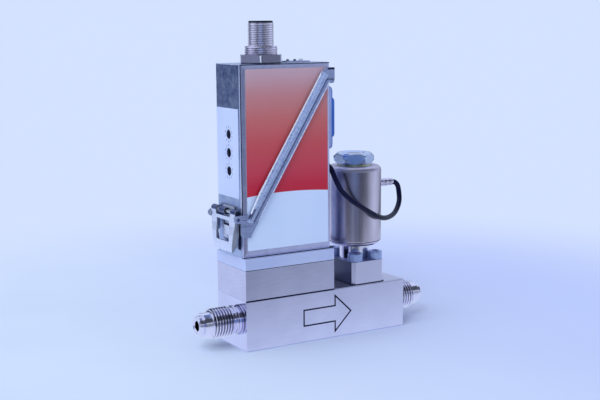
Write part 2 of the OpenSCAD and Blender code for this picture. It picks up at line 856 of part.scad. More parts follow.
module switch_rotor_2() {
    switch_rotor(0);
}

module switch_rotor_3() {
    switch_rotor(-1);
}

module m12_shell() {
    color("silver") translate([m12_x, 0, 0]) difference() {
        union() {
            bar_z(top_z - m12_shank_l, m12_hex_z, m12_base_d);
            intersection() {
                hex_z(m12_hex_z, m12_base_z, m12_hex);
                translate([0, 0, m12_hex_z])
                    cylinder(d1 = m12_hex / cos(half_flat), d2 = m12_hex / cos(half_flat) - m12_seal_t,
                        h = m12_hex_h);
            }
            bar_z(m12_base_z, m12_thread_z, m12_base_d);
            bar_z(m12_thread_z, m12_end_z, m12_thread_d);
        }
        bar_z(top_z - m12_shank_l - overrun, m12_end_z + overrun, m12_insert_d);
    }
}

module m12_seal() {
    color("black") difference() {
        bar_z(top_z, m12_hex_z, m12_hex, m12_x);
        bar_z(top_z - overrun, m12_hex_z + overrun, m12_base_d, m12_x);
    }
}

module m12_nut() {
    nut_low_z = top_z - wall_t - m12_nut_h;
    color("gray") difference() {
        translate([m12_x, 0, 0]) hex_z(nut_low_z, top_z - wall_t, m12_nut_af);
        bar_z(nut_low_z - overrun, top_z, m12_base_d, m12_x);
    }
}

// Places of the round connector's contacts, in the XY plane
m12_pins_at = [for (i = [0 : m12_pin_count - 1])
    [m12_x + m12_pin_ring_d / 2 * cos(360 * i / m12_pin_count),
        m12_pin_ring_d / 2 * sin(360 * i / m12_pin_count)]];

module m12_insert() {
    face_z = m12_end_z + m12_insert_rise;
    color("dimgray") difference() {
        bar_z(top_z - m12_shank_l, face_z, m12_insert_d, m12_x);
        for (p = m12_pins_at)
            bar_z(top_z - m12_shank_l - overrun, face_z + overrun, m12_pin_d, p[0], p[1]);
        box([m12_x - m12_insert_d, -m12_key_w / 2, face_z - m12_insert_rise],
            [m12_x - m12_insert_d / 2 + m12_key_w, m12_key_w / 2, face_z + overrun]);
    }
}

module m12_contacts() {
    color("gold") for (p = m12_pins_at)
        bar_z(top_z - m12_shank_l - m12_tail_l, m12_end_z - m12_socket_l, m12_pin_d, p[0], p[1]);
}

// Outline of the side connector's shell in the YZ plane, drawn in by inset
module dsub_outline(inset) {
    half_l = dsub_shell_l / 2 - inset;
    half_w = dsub_shell_w / 2 - inset;
    narrow = half_l - 2 * half_w * tan(dsub_slope);
    translate([0, dsub_cz])
        polygon([[-half_w, -half_l], [half_w, -narrow], [half_w, narrow], [-half_w, half_l]]);
}

module dsub_shell() {
    color("silver") difference() {
        union() {
            box([right_x, -dsub_flange_w / 2, dsub_cz - dsub_flange_l / 2],
                [dsub_x, dsub_flange_w / 2, dsub_cz + dsub_flange_l / 2]);
            plate_x(right_x, dsub_x + dsub_shell_h) dsub_outline(0);
        }
        plate_x(right_x - overrun, dsub_x + dsub_shell_h + overrun)
            dsub_outline(dsub_shell_wall);
        for (side = [-1, 1])
            bar_x(right_x - overrun, dsub_x + overrun, jack_d, 0,
                dsub_cz + side * dsub_pitch / 2);
    }
}

// Places of the side connector's contacts: five in one row, four in the other
dsub_pins_at = [for (row = [0, 1], i = [0 : 4 - row])
    [(row - 0.5) * dsub_row_pitch, dsub_cz + (i - (4 - row) / 2) * dsub_pin_pitch]];

module dsub_insert() {
    color("black") difference() {
        plate_x(right_x - dsub_body_l, dsub_x + dsub_floor) dsub_outline(dsub_shell_wall);
        for (p = dsub_pins_at)
            bar_x(right_x - dsub_body_l - overrun, dsub_x + overrun + dsub_floor, dsub_pin_d,
                p[0], p[1]);
    }
}

module dsub_contacts() {
    color("gold") for (p = dsub_pins_at)
        bar_x(right_x - dsub_body_l - dsub_tail, dsub_x + dsub_pin_rise, dsub_pin_d, p[0], p[1]);
}

module dsub_jack_screws() {
    color("gray") for (side = [-1, 1]) translate([0, 0, dsub_cz + side * dsub_pitch / 2]) {
        translate([dsub_x, 0, 0]) rotate([0, quarter, 0]) hex_z(0, jack_h, jack_af);
        bar_x(dsub_x - jack_l, dsub_x, jack_d);
    }
}

module dust_cap() {
    low_x = dsub_x + cap_gap;
    cavity_x = dsub_x + dsub_shell_h + cap_gap;
    cavity_l = dsub_shell_l / 2 + cap_gap;
    cavity_w = dsub_shell_w / 2 + cap_gap;
    color("royalblue") difference() {
        union() {
            box([low_x, -dsub_flange_w / 2, dsub_cz - cap_l / 2],
                [low_x + cap_flange_h, dsub_flange_w / 2, dsub_cz + cap_l / 2]);
            box([low_x, -cap_bulge_w / 2, dsub_cz - cap_bulge_l / 2],
                [cavity_x + cap_wall, cap_bulge_w / 2, dsub_cz + cap_bulge_l / 2]);
        }
        box([low_x - overrun, -cavity_w, dsub_cz - cavity_l],
            [cavity_x, cavity_w, dsub_cz + cavity_l]);
        for (side = [-1, 1])
            bar_x(low_x - overrun, low_x + cap_flange_h + overrun, jack_af / cos(half_flat) + 2 * play, 0,
                dsub_cz + side * dsub_pitch / 2);
    }
}

module indicator_plate() {
    color("gainsboro") difference() {
        box([plate_top_x, -plate_top_w / 2, top_z],
            [plate_top_x + plate_top_l, plate_top_w / 2, top_z + plate_top_t]);
        for (x = lamps_at)
            bar_z(top_z - overrun, top_z + plate_top_t + overrun, lamp_d, x);
        bar_z(top_z - overrun, top_z + plate_top_t + overrun, button_d + 2 * play, button_x);
    }
}

module status_leds() {
    color("darkslategray") for (x = lamps_at) translate([x, 0, 0]) {
        bar_z(top_z + plate_top_t - lamp_l, top_z + plate_top_t, lamp_d);
        intersection() {
            translate([0, 0, top_z + plate_top_t]) sphere(d = lamp_d);
            bar_z(top_z + plate_top_t, top_z + plate_top_t + lamp_d, 2 * lamp_d);
        }
    }
}

module push_button() {
    color("lightgray") bar_z(top_z + button_rise - button_l, top_z + button_rise, button_d,
        button_x);
}

module latch_bracket() {
    plate_out_x = left_x - bracket_t;
    knuckle_low = bracket_knuckle_y - bracket_knuckle_w / 2;
    knuckle_high = bracket_knuckle_y + bracket_knuckle_w / 2;
    color("lightsteelblue") difference() {
        union() {
            box([plate_out_x, -bracket_w / 2, pin_a_z - bracket_low],
                [left_x, bracket_w / 2, pin_a_z + bracket_rise]);
            bar_y(knuckle_low, knuckle_high, knuckle_d, pin_a_x, pin_a_z);
            box([pin_a_x, knuckle_low, pin_a_z + knuckle_d / 2 - bracket_t],
                [left_x, knuckle_high, pin_a_z + knuckle_d / 2]);
            box([plate_out_x - tongue_t, -tongue_w / 2, pin_a_z - bracket_low],
                [left_x, tongue_w / 2, pin_a_z - bracket_low + tongue_w]);
        }
        bar_y(knuckle_low - overrun, knuckle_high + overrun, latch_pin_d, pin_a_x, pin_a_z);
    }
}

module latch_pin() {
    reach = lever_knuckle_y + lever_knuckle_w / 2;
    color("silver") bar_y(-reach, reach, latch_pin_d, pin_a_x, pin_a_z);
}

// Side outline of the lever in the XZ plane, moved along X by shift
module lever_profile(shift) {
    plate_l = lever_top_z - lever_low_z;
    flat_z = lever_top_z - plate_l * lever_flat_share;
    mid_z = lever_top_z - plate_l * lever_mid_share;
    toe_z = lever_low_z + plate_l * lever_toe_share;
    inner_x = left_x - lever_wall_gap;
    translate([shift, 0]) polygon([[lever_out_x, lever_top_z], [lever_out_x, flat_z],
        [lever_out_x - lever_bulge, mid_z], [lever_out_x - lever_bulge, toe_z],
        [lever_out_x - lever_bulge / 2, lever_low_z], [inner_x - 2 * lever_t, lever_low_z],
        [inner_x, toe_z], [inner_x, lever_top_z]]);
}

// Front outline of the lever in the YZ plane, drawn in by inset
module lever_front(inset) {
    top = lever_top_w / 2 - inset;
    low = lever_low_w / 2 - inset;
    polygon([[-low, lever_low_z + inset], [low, lever_low_z + inset],
        [top, lever_top_z + inset], [-top, lever_top_z + inset]]);
}

module latch_lever() {
    window_z = lever_low_z + window_low;
    color("lightsteelblue") difference() {
        union() {
            difference() {
                intersection() {
                    plate_x(lever_out_x - lever_bulge - overrun, left_x) lever_front(0);
                    plate_y(-lever_top_w, lever_top_w) lever_profile(0);
                }
                intersection() {
                    plate_x(lever_out_x - lever_bulge - overrun, left_x + overrun)
                        lever_front(lever_t);
                    plate_y(-lever_top_w, lever_top_w) {
                        lever_profile(lever_t);
                        lever_profile(2 * lever_t);
                    }
                }
            }
            for (side = [-1, 1]) {
                middle = side * lever_knuckle_y;
                bar_y(middle - lever_knuckle_w / 2, middle + lever_knuckle_w / 2, knuckle_d,
                    pin_a_x, pin_a_z);
                box([lever_out_x, middle - lever_knuckle_w / 2, lever_top_z - lever_t],
                    [lever_out_x + lever_t, middle + lever_knuckle_w / 2, pin_a_z]);
                flange_y = side * (lever_top_w - lever_t) / 2;
                bar_y(flange_y - lever_t / 2, flange_y + lever_t / 2, flange_lug_d,
                    pin_b_x, pin_b_z);
            }
        }
        box([lever_out_x - lever_bulge - overrun, -window_w / 2, window_z],
            [lever_out_x + 2 * lever_t, window_w / 2, window_z + window_h]);
        bar_y(-lever_top_w, lever_top_w, latch_pin_d + 2 * pin_play, pin_a_x, pin_a_z);
        bar_y(-lever_top_w, lever_top_w, pivot_d, pin_b_x, pin_b_z);
    }
}

module bail_pivots() {
    inner = lever_top_w / 2 - lever_t;
    outer = strap_y + strap_t + play;
    color("silver") {
        bar_y(inner, outer, pivot_d, pin_b_x, pin_b_z);
        bar_y(-outer, -inner, pivot_d, pin_b_x, pin_b_z);
    }
}

// Side outline of one strap with its foot, ear and upper tab, in the XZ plane
module strap_outline() {
    tab_right = bar_x + bar_t;
    foot_z0 = pin_b_z - foot_h;
    foot_mid_x = foot_x + foot_w / 2 + strap_w / 4;
    run_x = tab_right - tab_l / 2 - foot_mid_x;
    run_z = bar_z + strap_aim_share * bar_h - foot_z0 - foot_h / 2;
    run_l = norm([run_x, run_z]);
    strap_angle = atan2(run_z, run_x);
    difference() {
        union() {
            translate([foot_mid_x, foot_z0 + foot_h / 2]) rotate(strap_angle)
                translate([-strap_w / 2, -strap_w / 2]) square([run_l + strap_w, strap_w]);
            translate([tab_right - tab_l, bar_z]) square([tab_l, bar_h]);
        }
        translate([foot_x - run_l, bar_z + bar_h]) square([2 * run_l, run_l]);
        translate([tab_right, bar_z - run_l]) square([run_l, 2 * run_l]);
        translate([foot_x - run_l, foot_z0 - run_l]) square([2 * run_l, run_l]);
    }
    translate([foot_x + foot_round, foot_z0]) square([foot_w - foot_round, foot_h]);
    translate([foot_x, foot_z0 + foot_round]) square([foot_w, foot_h - foot_round]);
    translate([foot_x + foot_round, foot_z0 + foot_round]) circle(r = foot_round);
    translate([pin_b_x, pin_b_z - ear_d / 2]) square([foot_x + foot_w - pin_b_x, ear_d]);
    translate([pin_b_x, pin_b_z]) circle(d = ear_d);
}

// Front strap of the bail; the back one is its mirror image
module strap() {
    plate_y(-strap_y - strap_t, -strap_y) difference() {
        strap_outline();
        translate([pin_b_x, pin_b_z]) circle(d = pivot_d + 2 * pin_play);
    }
}

module bail() {
    color("lightsteelblue") {
        strap();
        mirror([0, 1, 0]) strap();
        box([bar_x, -strap_y - strap_t, bar_z], [bar_x + bar_t, strap_y + strap_t, bar_z + bar_h]);
    }
}

// Chamfered outline of the valve block in the XY plane, drawn in by inset
module valve_block_plan(inset) {
    x = valve_block_w / 2 - inset;
    y = valve_block_d / 2 - inset;
    c = valve_block_chamfer;
    translate([valve_x, 0]) polygon([[-x + c, -y], [x - c, -y], [x, -y + c], [x, y - c],
        [x - c, y], [-x + c, y], [-x, y - c], [-x, -y + c]]);
}

module valve_block() {
    color("silver") difference() {
        union() {
            translate([0, 0, block_z]) linear_extrude(valve_block_h)
                valve_block_plan(valve_foot_inset);
            translate([0, 0, block_z + valve_foot_h])
                linear_extrude(valve_block_h - valve_foot_h) valve_block_plan(0);
        }
        bar_z(block_z - overrun, valve_top_z + overrun, chamber_d, valve_x);
        seal_groove(valve_seal_d, valve_seal_section, valve_x, 0, block_z);
        for (p = valve_screws_at)
            bar_z(block_z - overrun, valve_top_z + overrun, m4_clear_d, p[0], p[1]);
    }
}

module valve_block_seal() {
    color("black") seal_ring(valve_seal_d, valve_seal_section, valve_x, 0, block_z);
}

module valve_block_screws() {
    color("gray") for (p = valve_screws_at)
        socket_screw(m4_d, m4_head_d, m4_head_h, m4_hex, valve_block_h + m4_grip,
            p[0], p[1], valve_top_z);
}

module valve_seat() {
    color("goldenrod") translate([valve_x, 0, 0]) rotate_extrude() polygon([
        [passage_d / 2, block_z - seat_sink], [seat_d / 2, block_z - seat_sink],
        [seat_d / 2, seat_top_z], [seat_tip_d / 2, seat_top_z + seat_cone],
        [seat_orifice_d / 2, seat_top_z + seat_cone],
        [seat_orifice_d / 2, seat_top_z - seat_cone], [passage_d / 2, seat_top_z - seat_cone]]);
}

module valve_sleeve() {
    color("silver") translate([valve_x, 0, 0]) difference() {
        union() {
            bar_z(valve_top_z - spigot_l, valve_top_z, chamber_d);
            bar_z(valve_top_z, neck_top_z, neck_d);
            bar_z(neck_top_z, sleeve_top_z, guide_d);
        }
        bar_z(valve_top_z - spigot_l - overrun, sleeve_top_z + overrun, sleeve_bore_d);
    }
}

module valve_core() {
    color("darkgray") bar_z(core_z, sleeve_top_z, sleeve_bore_d, valve_x);
}

module valve_plunger() {
    color("gray") bar_z(plunger_z, plunger_top_z, plunger_d, valve_x);
}

module plunger_spring() {
    color("lightgray") difference() {
        bar_z(plunger_top_z, core_z, spring_od, valve_x);
        bar_z(plunger_top_z - overrun, core_z + overrun, spring_id, valve_x);
    }
}

module coil_bobbin() {
    color("ivory") translate([valve_x, 0, 0]) difference() {
        union() {
            bar_z(bobbin_z, bobbin_top_z, guide_d + 2 * bobbin_wall);
            bar_z(bobbin_z, bobbin_z + bobbin_flange_t, bobbin_d);
            bar_z(bobbin_top_z - bobbin_flange_t, bobbin_top_z, bobbin_d);
        }
        bar_z(bobbin_z - overrun, bobbin_top_z + overrun, guide_d);
    }
}

module coil_winding() {
    low_z = bobbin_z + bobbin_flange_t;
    high_z = bobbin_top_z - bobbin_flange_t;
    color("chocolate") difference() {
        bar_z(low_z, high_z, bobbin_d - 2 * winding_gap_r, valve_x);
        bar_z(low_z - overrun, high_z + overrun, guide_d + 2 * bobbin_wall, valve_x);
    }
}

module coil_can() {
    wall_l = can_d / 2 - guide_d / 2;
    roof_t = 2 * can_wall;
    color("rosybrown") difference() {
        translate([valve_x, 0, 0]) rotate_extrude() difference() {
            union() {
                translate([guide_d / 2, can_z]) square([wall_l, can_h - can_round]);
                translate([guide_d / 2, can_z]) square([wall_l - can_round, can_h]);
                translate([can_d / 2 - can_round, can_top_z - can_round]) circle(r = can_round);
            }
            translate([guide_d / 2 - overrun, can_z + can_base_t])
                square([wall_l - can_wall + overrun, can_h - can_base_t - roof_t]);
        }
        bar_x(valve_x, valve_x + can_d, gland_d, 0, gland_z);
    }
}

module coil_ring() {
    r = can_ring_d / 2;
    c = can_ring_round;
    color("gainsboro") translate([valve_x, 0, neck_top_z]) rotate_extrude()
        polygon([[guide_d / 2, 0], [r - c, 0], [r, c], [r, can_ring_h], [guide_d / 2, can_ring_h]]);
}

module coil_washer() {
    color("silver") difference() {
        bar_z(can_top_z, nut_z, washer_d, valve_x);
        bar_z(can_top_z - overrun, nut_z + overrun, guide_d, valve_x);
    }
}

module coil_nut() {
    corner_d = coil_nut_af / cos(half_flat);
    color("lightsteelblue") translate([valve_x, 0, 0]) difference() {
        intersection() {
            hex_z(nut_z, nut_top_z, coil_nut_af, half_flat);
            translate([0, 0, nut_z]) rotate_extrude() polygon([[0, 0],
                [corner_d / 2, 0], [corner_d / 2, coil_nut_h - nut_chamfer / 2],
                [corner_d / 2 - nut_chamfer, coil_nut_h], [0, coil_nut_h]]);
        }
        bar_z(nut_z - overrun, nut_top_z + overrun, guide_d);
    }
}

module lead_gland() {
    low_x = can_d / 2 - can_wall - gland_sink / 4;
    flare_x = can_d / 2 + gland_sink;
    end_x = can_d / 2 + gland_l;
    color("silver") translate([valve_x, 0, gland_z]) rotate([0, quarter, 0]) rotate_extrude()
        polygon([[lead_d / 2, low_x], [gland_d / 2, low_x], [gland_d / 2, flare_x],
            [gland_end_d / 2, end_x], [lead_d / 2, end_x]]);
}

// Point on a smooth curve through four route points, at share t between the middle two
function curve_point(a, b, c, d, t) =
    0.5 * ((2 * b) + (c - a) * t + (2 * a - 5 * b + 4 * c - d) * t * t
        + (3 * b - a - 3 * c + d) * t * t * t);

// Points along the whole lead, from its hand-chosen route
function lead_path(route, steps) = [for (i = [0 : len(route) - 2], s = [0 : steps - 1])
    curve_point(route[max(i - 1, 0)], route[i], route[i + 1],
        route[min(i + 2, len(route) - 1)], s / steps), route[len(route) - 1]];

// Direction of a path at its point i
function heading(path, i) =
    let (v = path[min(i + 1, len(path) - 1)] - path[max(i - 1, 0)]) v / norm(v);

// Side directions carried along a path without twist
function carried(path, i, side) =
    let (h = heading(path, i), v = side - (side * h) * h) v / norm(v);
function side_list(path, i = 0, side = [0, 1, 0]) = i >= len(path) ? [] :
    let (s = carried(path, i, side)) concat([s], side_list(path, i + 1, s));

// Round tube along a path, as one closed solid
module swept_tube(path, d, sides) {
    across = side_list(path);
    last = len(path) - 1;
    rings = [for (i = [0 : last], k = [0 : sides - 1])
        let (h = heading(path, i), u = across[i], w = cross(h, u), a = 360 * k / sides)
            path[i] + d / 2 * (cos(a) * u + sin(a) * w)];
    start_face = [[for (k = [0 : sides - 1]) k]];
    end_face = [[for (k = [sides - 1 : -1 : 0]) last * sides + k]];
    wall = [for (i = [0 : last - 1], k = [0 : sides - 1], half = [0, 1])
        let (a = i * sides + k, b = i * sides + (k + 1) % sides)
            half == 0 ? [a, a + sides, b] : [b, a + sides, b + sides]];
    polyhedron(points = rings, faces = concat(start_face, end_face, wall));
}

module coil_lead() {
    color("black") swept_tube(lead_path(lead_route, lead_steps), lead_d, lead_sides);
}

module lead_grommet() {
    color("black") difference() {
        union() {
            bar_x(right_x - wall_t, right_x, grommet_d, grommet_y, grommet_z);
            bar_x(right_x, right_x + grommet_flange_t, grommet_flange_d, grommet_y, grommet_z);
        }
        bar_x(right_x - wall_t - overrun, right_x + grommet_flange_t + overrun, lead_d,
            grommet_y, grommet_z);
    }
}

flow_body();
inlet_fitting();
outlet_fitting();
inlet_filter();
laminar_rod();
laminar_discs();
sensor_block();
sensor_block_seals();
block_screws();
sensor_flange();
sensor_tube();
sensor_windings();
sensor_cap();
base_plate();
housing_shell();
housing_cover();
front_label();
side_label();
circuit_board();
board_components();
rotary_switch_bodies();
switch_rotor_1();
switch_rotor_2();
switch_rotor_3();
m12_shell();
m12_seal();
m12_nut();
m12_insert();
m12_contacts();
dsub_shell();
dsub_insert();
dsub_contacts();
dsub_jack_screws();
dust_cap();
indicator_plate();
status_leds();
push_button();
latch_bracket();
latch_pin();
latch_lever();
bail_pivots();
bail();
valve_block();
valve_block_seal();
valve_block_screws();
valve_seat();
valve_sleeve();
valve_core();
valve_plunger();
plunger_spring();
coil_bobbin();
coil_winding();
coil_can();
coil_ring();
coil_washer();
coil_nut();
lead_gland();
coil_lead();
lead_grommet();
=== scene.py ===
"""Looks for the thermal mass flow controller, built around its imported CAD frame.

Geometry is written in millimetres in the row frame and scaled once, in piece().
"""
import math

import bmesh
import bpy
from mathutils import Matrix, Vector


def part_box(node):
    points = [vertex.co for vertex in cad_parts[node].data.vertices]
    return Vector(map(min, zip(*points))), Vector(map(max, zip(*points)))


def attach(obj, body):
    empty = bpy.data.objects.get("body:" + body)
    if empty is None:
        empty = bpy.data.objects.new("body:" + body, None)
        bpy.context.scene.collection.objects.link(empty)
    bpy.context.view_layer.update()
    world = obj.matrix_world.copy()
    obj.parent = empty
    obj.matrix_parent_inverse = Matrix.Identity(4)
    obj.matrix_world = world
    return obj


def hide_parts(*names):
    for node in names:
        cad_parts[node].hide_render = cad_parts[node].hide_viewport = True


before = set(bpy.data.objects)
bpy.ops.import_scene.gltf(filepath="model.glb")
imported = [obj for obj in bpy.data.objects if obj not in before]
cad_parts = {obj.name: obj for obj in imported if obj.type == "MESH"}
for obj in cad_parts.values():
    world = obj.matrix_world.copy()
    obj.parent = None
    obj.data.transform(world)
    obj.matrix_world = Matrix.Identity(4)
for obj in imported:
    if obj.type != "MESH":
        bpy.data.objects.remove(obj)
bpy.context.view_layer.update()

MM = 0.001
TURN = 2 * math.pi


def box_mm(node):
    """Lowest and highest corner of a CAD node, in millimetres."""
    low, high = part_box(node)
    return Vector(low) / MM, Vector(high) / MM


body_low, body_high = box_mm("flow_body")
sensor_low, sensor_high = box_mm("sensor_block")
plate_low, plate_high = box_mm("base_plate")
cover_low, cover_high = box_mm("housing_cover")
shell_low, shell_high = box_mm("housing_shell")
label_low, label_high = box_mm("front_label")
sticker_low, sticker_high = box_mm("side_label")
m12_low, m12_high = box_mm("m12_shell")
can_low, can_high = box_mm("coil_can")
gland_low, gland_high = box_mm("lead_gland")
grommet_low, grommet_high = box_mm("lead_grommet")
bail_low, bail_high = box_mm("bail")
pin_low, pin_high = box_mm("latch_pin")
inlet_low, inlet_high = box_mm("inlet_fitting")
screws_low, screws_high = box_mm("valve_block_screws")
block_low, block_high = box_mm("valve_block")
nut_low, nut_high = box_mm("coil_nut")
cap_low, cap_high = box_mm("dust_cap")


# Camera

VIEW_AZIMUTH = math.radians(-30.789)
VIEW_ELEVATION = math.radians(9.02)
VIEW_ROLL = math.radians(-0.479)
VIEW_DISTANCE = 529.043
VIEW_TARGET = Vector((-6.457, 0, 64.672))
SENSOR_WIDTH = 36
LENS = 67.28


def direction(azimuth, elevation):
    """Unit vector towards an azimuth and elevation; azimuth 0 is the front."""
    return Vector((math.sin(azimuth) * math.cos(elevation),
                   -math.cos(azimuth) * math.cos(elevation), math.sin(elevation)))


def place_camera():
    """Puts the camera where the photograph was taken."""
    back = direction(VIEW_AZIMUTH, VIEW_ELEVATION)
    level = Vector((0, 0, 1)).cross(back).normalized()
    upright = back.cross(level)
    right = level * math.cos(VIEW_ROLL) + upright * math.sin(VIEW_ROLL)
    up = upright * math.cos(VIEW_ROLL) - level * math.sin(VIEW_ROLL)
    eye = (VIEW_TARGET + back * VIEW_DISTANCE) * MM
    data = bpy.data.cameras.new("camera")
    data.lens = LENS
    data.sensor_width = SENSOR_WIDTH
    data.clip_start = 0.01
    data.clip_end = 50
    camera = bpy.data.objects.new("camera", data)
    matrix = camera.matrix_world.copy()
    for row in range(3):
        for column, vector in enumerate((right, up, back, eye)):
            matrix[row][column] = vector[row]
    camera.matrix_world = matrix
    bpy.context.scene.collection.objects.link(camera)
    bpy.context.scene.camera = camera


place_camera()


# Mesh helpers

def piece(name, mesh_data, look, body="meter", sharp=30, stands_for=()):
    """Mesh object from points in millimetres and faces, riding on a CAD body."""
    verts, faces = mesh_data
    mesh = bpy.data.meshes.new(name)
    mesh.from_pydata([Vector(v) * MM for v in verts], [], faces)
    work = bmesh.new()
    work.from_mesh(mesh)
    bmesh.ops.remove_doubles(work, verts=work.verts, dist=1e-7)
    bmesh.ops.recalc_face_normals(work, faces=work.faces)
    work.to_mesh(mesh)
    work.free()
    mesh.shade_smooth()
    mesh.set_sharp_from_angle(angle=math.radians(sharp))
    mesh.materials.append(LOOKS[look])
    obj = bpy.data.objects.new(name, mesh)
    bpy.context.scene.collection.objects.link(obj)
    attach(obj, body)
    if stands_for:
        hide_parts(*stands_for)
    return obj


def second_look(obj, look, where):
    """Gives another material to the faces for which where(polygon) holds."""
    obj.data.materials.append(LOOKS[look])
    for polygon in obj.data.polygons:
        if where(polygon):
            polygon.material_index = len(obj.data.materials) - 1


def loft(rings, closed_along=False):
    """Points and faces of a skin through rings that have equally many points."""
    count = len(rings[0])
    verts = [p for ring in rings for p in ring]
    faces = []
    for i in range(len(rings) if closed_along else len(rings) - 1):
        a = i * count
        b = (i + 1) % len(rings) * count
        for k in range(count):
            n = (k + 1) % count
            faces.append((a + k, a + n, b + n, b + k))
    if not closed_along:
        faces.append(tuple(range(count)))
        faces.append(tuple((len(rings) - 1) * count + k for k in range(count)))
    return verts, faces


def joined(parts):
    """Several (points, faces) pairs as one."""
    verts, faces = [], []
    for more_verts, more_faces in parts:
        start = len(verts)
        verts.extend(more_verts)
        faces.extend(tuple(start + i for i in face) for face in more_faces)
    return verts, faces


def both_sides(make, *values):
    """What make gives in front (side -1) and behind (side 1), as one."""
    return joined([make(side, *values) for side in (-1, 1)])


def smooth_step(value):
    value = min(max(value, 0), 1)
    return value * value * (3 - 2 * value)


def steps_round(count):
    """Angles of equal steps round a circle."""
    return [TURN * k / count for k in range(count)]


def level_ring(z, radius_at, centre, segments=96):
    """Level ring whose radius depends on the angle."""
    return [(centre[0] + radius_at(a) * math.cos(a), centre[1] + radius_at(a) * math.sin(a), z)
            for a in steps_round(segments)]


def round_ring(z, radius, centre, segments=96):
    return level_ring(z, lambda angle: radius, centre, segments)


def hex_rings(levels, flat_radius, centre, turn=0, segments=96):
    """Rings of a hexagon with a corner at angle turn, held inside a round limit.

    levels are (height, limit).
    """
    def edge(angle):
        return flat_radius / math.cos((angle - turn) % (TURN / 6) - TURN / 12)
    return [level_ring(z, lambda angle: min(edge(angle), limit), centre, segments)
            for z, limit in levels]


def bar(x0, x1, y0, y1, z0, z1, edge):
    """Upright bar with chamfered edges, as two facing outlines."""
    outline = [(x0 + edge, y0), (x1 - edge, y0), (x1, y0 + edge), (x1, y1 - edge),
               (x1 - edge, y1), (x0 + edge, y1), (x0, y1 - edge), (x0, y0 + edge)]
    return loft([[(x, y, z) for x, y in outline] for z in (z0, z1)])


# Turned and threaded pieces

THREAD_CREST = 0.2
THREAD_ROOT = 0.24
THREAD_DEPTH = 0.6134


def along_x(z, side=1):
    """Places a turning round an axis along X at height z."""
    return lambda along, across, up: (side * along, across, z + up)


def upright(x):
    """Places a turning round an upright axis at x."""
    return lambda along, across, up: (x + across, up, along)


def thread_dip(turns, crest, root):
    """Depth of a thread's groove from 0 on the crest to 1 at the root."""
    away = 1 - abs(turns % 1 * 2 - 1)
    return min(max((away - crest) / (1 - crest - root), 0), 1)


def turned(stations, place, segments=96, pitch=None, crest=THREAD_CREST, root=THREAD_ROOT):
    """Closed turning from stations (along, radius) or (along, radius, share of thread depth)."""
    rings = []
    for along, radius, *share in stations:
        ring = []
        for k, angle in enumerate(steps_round(segments)):
            r = radius
            if share:
                r -= (share[0] * THREAD_DEPTH * pitch
                      * thread_dip(along / pitch - k / segments, crest, root))
            ring.append(place(along, r * math.cos(angle), r * math.sin(angle)))
        rings.append(ring)
    return loft(rings, closed_along=True)


def thread_stations(low, high, radius, pitch, chamfer, depth=1.0):
    """Stations of a thread that runs in and out over its chamfers."""
    count = round((high - low) / pitch * 12)
    rows = []
    for i in range(count + 1):
        along = low + (high - low) * i / count
        share = min(along - low, high - along) / chamfer
        rows.append((along, radius - (1 - min(share, 1)) * chamfer * 0.6,
                     smooth_step(share) * depth))
    return rows


# Materials

def rgba(colour):
    """Four numbers from a colour or a grey level."""
    return (*(colour if isinstance(colour, tuple) else (colour,) * 3), 1)


def feed(tree, socket, value):
    """Links another node's output to a socket, or sets the socket to a constant."""
    if isinstance(value, bpy.types.NodeSocket):
        tree.links.new(value, socket)
    else:
        socket.default_value = rgba(value) if socket.type == "RGBA" else value


def node(tree, kind, *inputs, out=0, **settings):
    """Adds a shader node with inputs (socket, value) and gives one of its outputs."""
    made = tree.nodes.new("ShaderNode" + kind)
    for key, value in settings.items():
        setattr(made, key, value)
    for socket, value in inputs:
        feed(tree, made.inputs[socket], value)
    return made.outputs[out]


def nodes_of(name, *constants):
    material = bpy.data.materials.new(name)
    material.use_nodes = True
    tree = material.node_tree
    tree.nodes.clear()
    output = tree.nodes.new("ShaderNodeOutputMaterial")
    shader = tree.nodes.new("ShaderNodeBsdfPrincipled")
    tree.links.new(shader.outputs[0], output.inputs[0])
    for socket, value in constants:
        shader.inputs[socket].default_value = value
    return material, tree, shader


def row_coordinates(tree):
    return node(tree, "TexCoord", out="Object")


def coordinate(tree, axis, kind="Object"):
    return node(tree, "SeparateXYZ", (0, node(tree, "TexCoord", out=kind)), out=axis)


def noise(tree, per_metre, detail=4, roughness=0.55, seed=0):
    """Noise in the row frame; per_metre is its density, even or along X, Y and Z."""
    if not isinstance(per_metre, tuple):
        per_metre = (per_metre,) * 3
    place = node(tree, "Mapping", ("Vector", row_coordinates(tree)), ("Scale", per_metre),
                 ("Location", (seed, seed * 1.7, seed * 2.3)))
    return node(tree, "TexNoise", ("Vector", place), ("Scale", 1), ("Detail", detail),
                ("Roughness", roughness), out="Fac")


def ramp(tree, factor, stops):
    """Colour ramp; stops are (position, colour or grey level)."""
    made = tree.nodes.new("ShaderNodeValToRGB")
    elements = made.color_ramp.elements
    for i, (position, colour) in enumerate(stops):
        if i > 1:
            elements.new(position)
        elements[i].position = position
        elements[i].color = rgba(colour)
    tree.links.new(factor, made.inputs[0])
    return made.outputs[0]


def mix(tree, factor, low, high, blend="MIX"):
    return node(tree, "Mix", (0, factor), (6, low), (7, high), out=2, data_type="RGBA",
                blend_type=blend)


def math_node(tree, operation, *values):
    return node(tree, "Math", *enumerate(values), operation=operation)


def vector_math(tree, operation, *values, out=0):
    return node(tree, "VectorMath", *enumerate(values), operation=operation, out=out)


def weighted(tree, *parts):
    """Sum of (value, share) pairs."""
    total = None
    for value, share in parts:
        value = math_node(tree, "MULTIPLY", value, share)
        total = value if total is None else math_node(tree, "ADD", total, value)
    return total


def share_between(tree, value, low, high, kind="LINEAR"):
    """0 where value is low, 1 where it is high."""
    return node(tree, "MapRange", ("Value", value), ("From Min", low), ("From Max", high),
                interpolation_type=kind)


def step_between(tree, value, low, high):
    return share_between(tree, value, low, high, "SMOOTHSTEP")


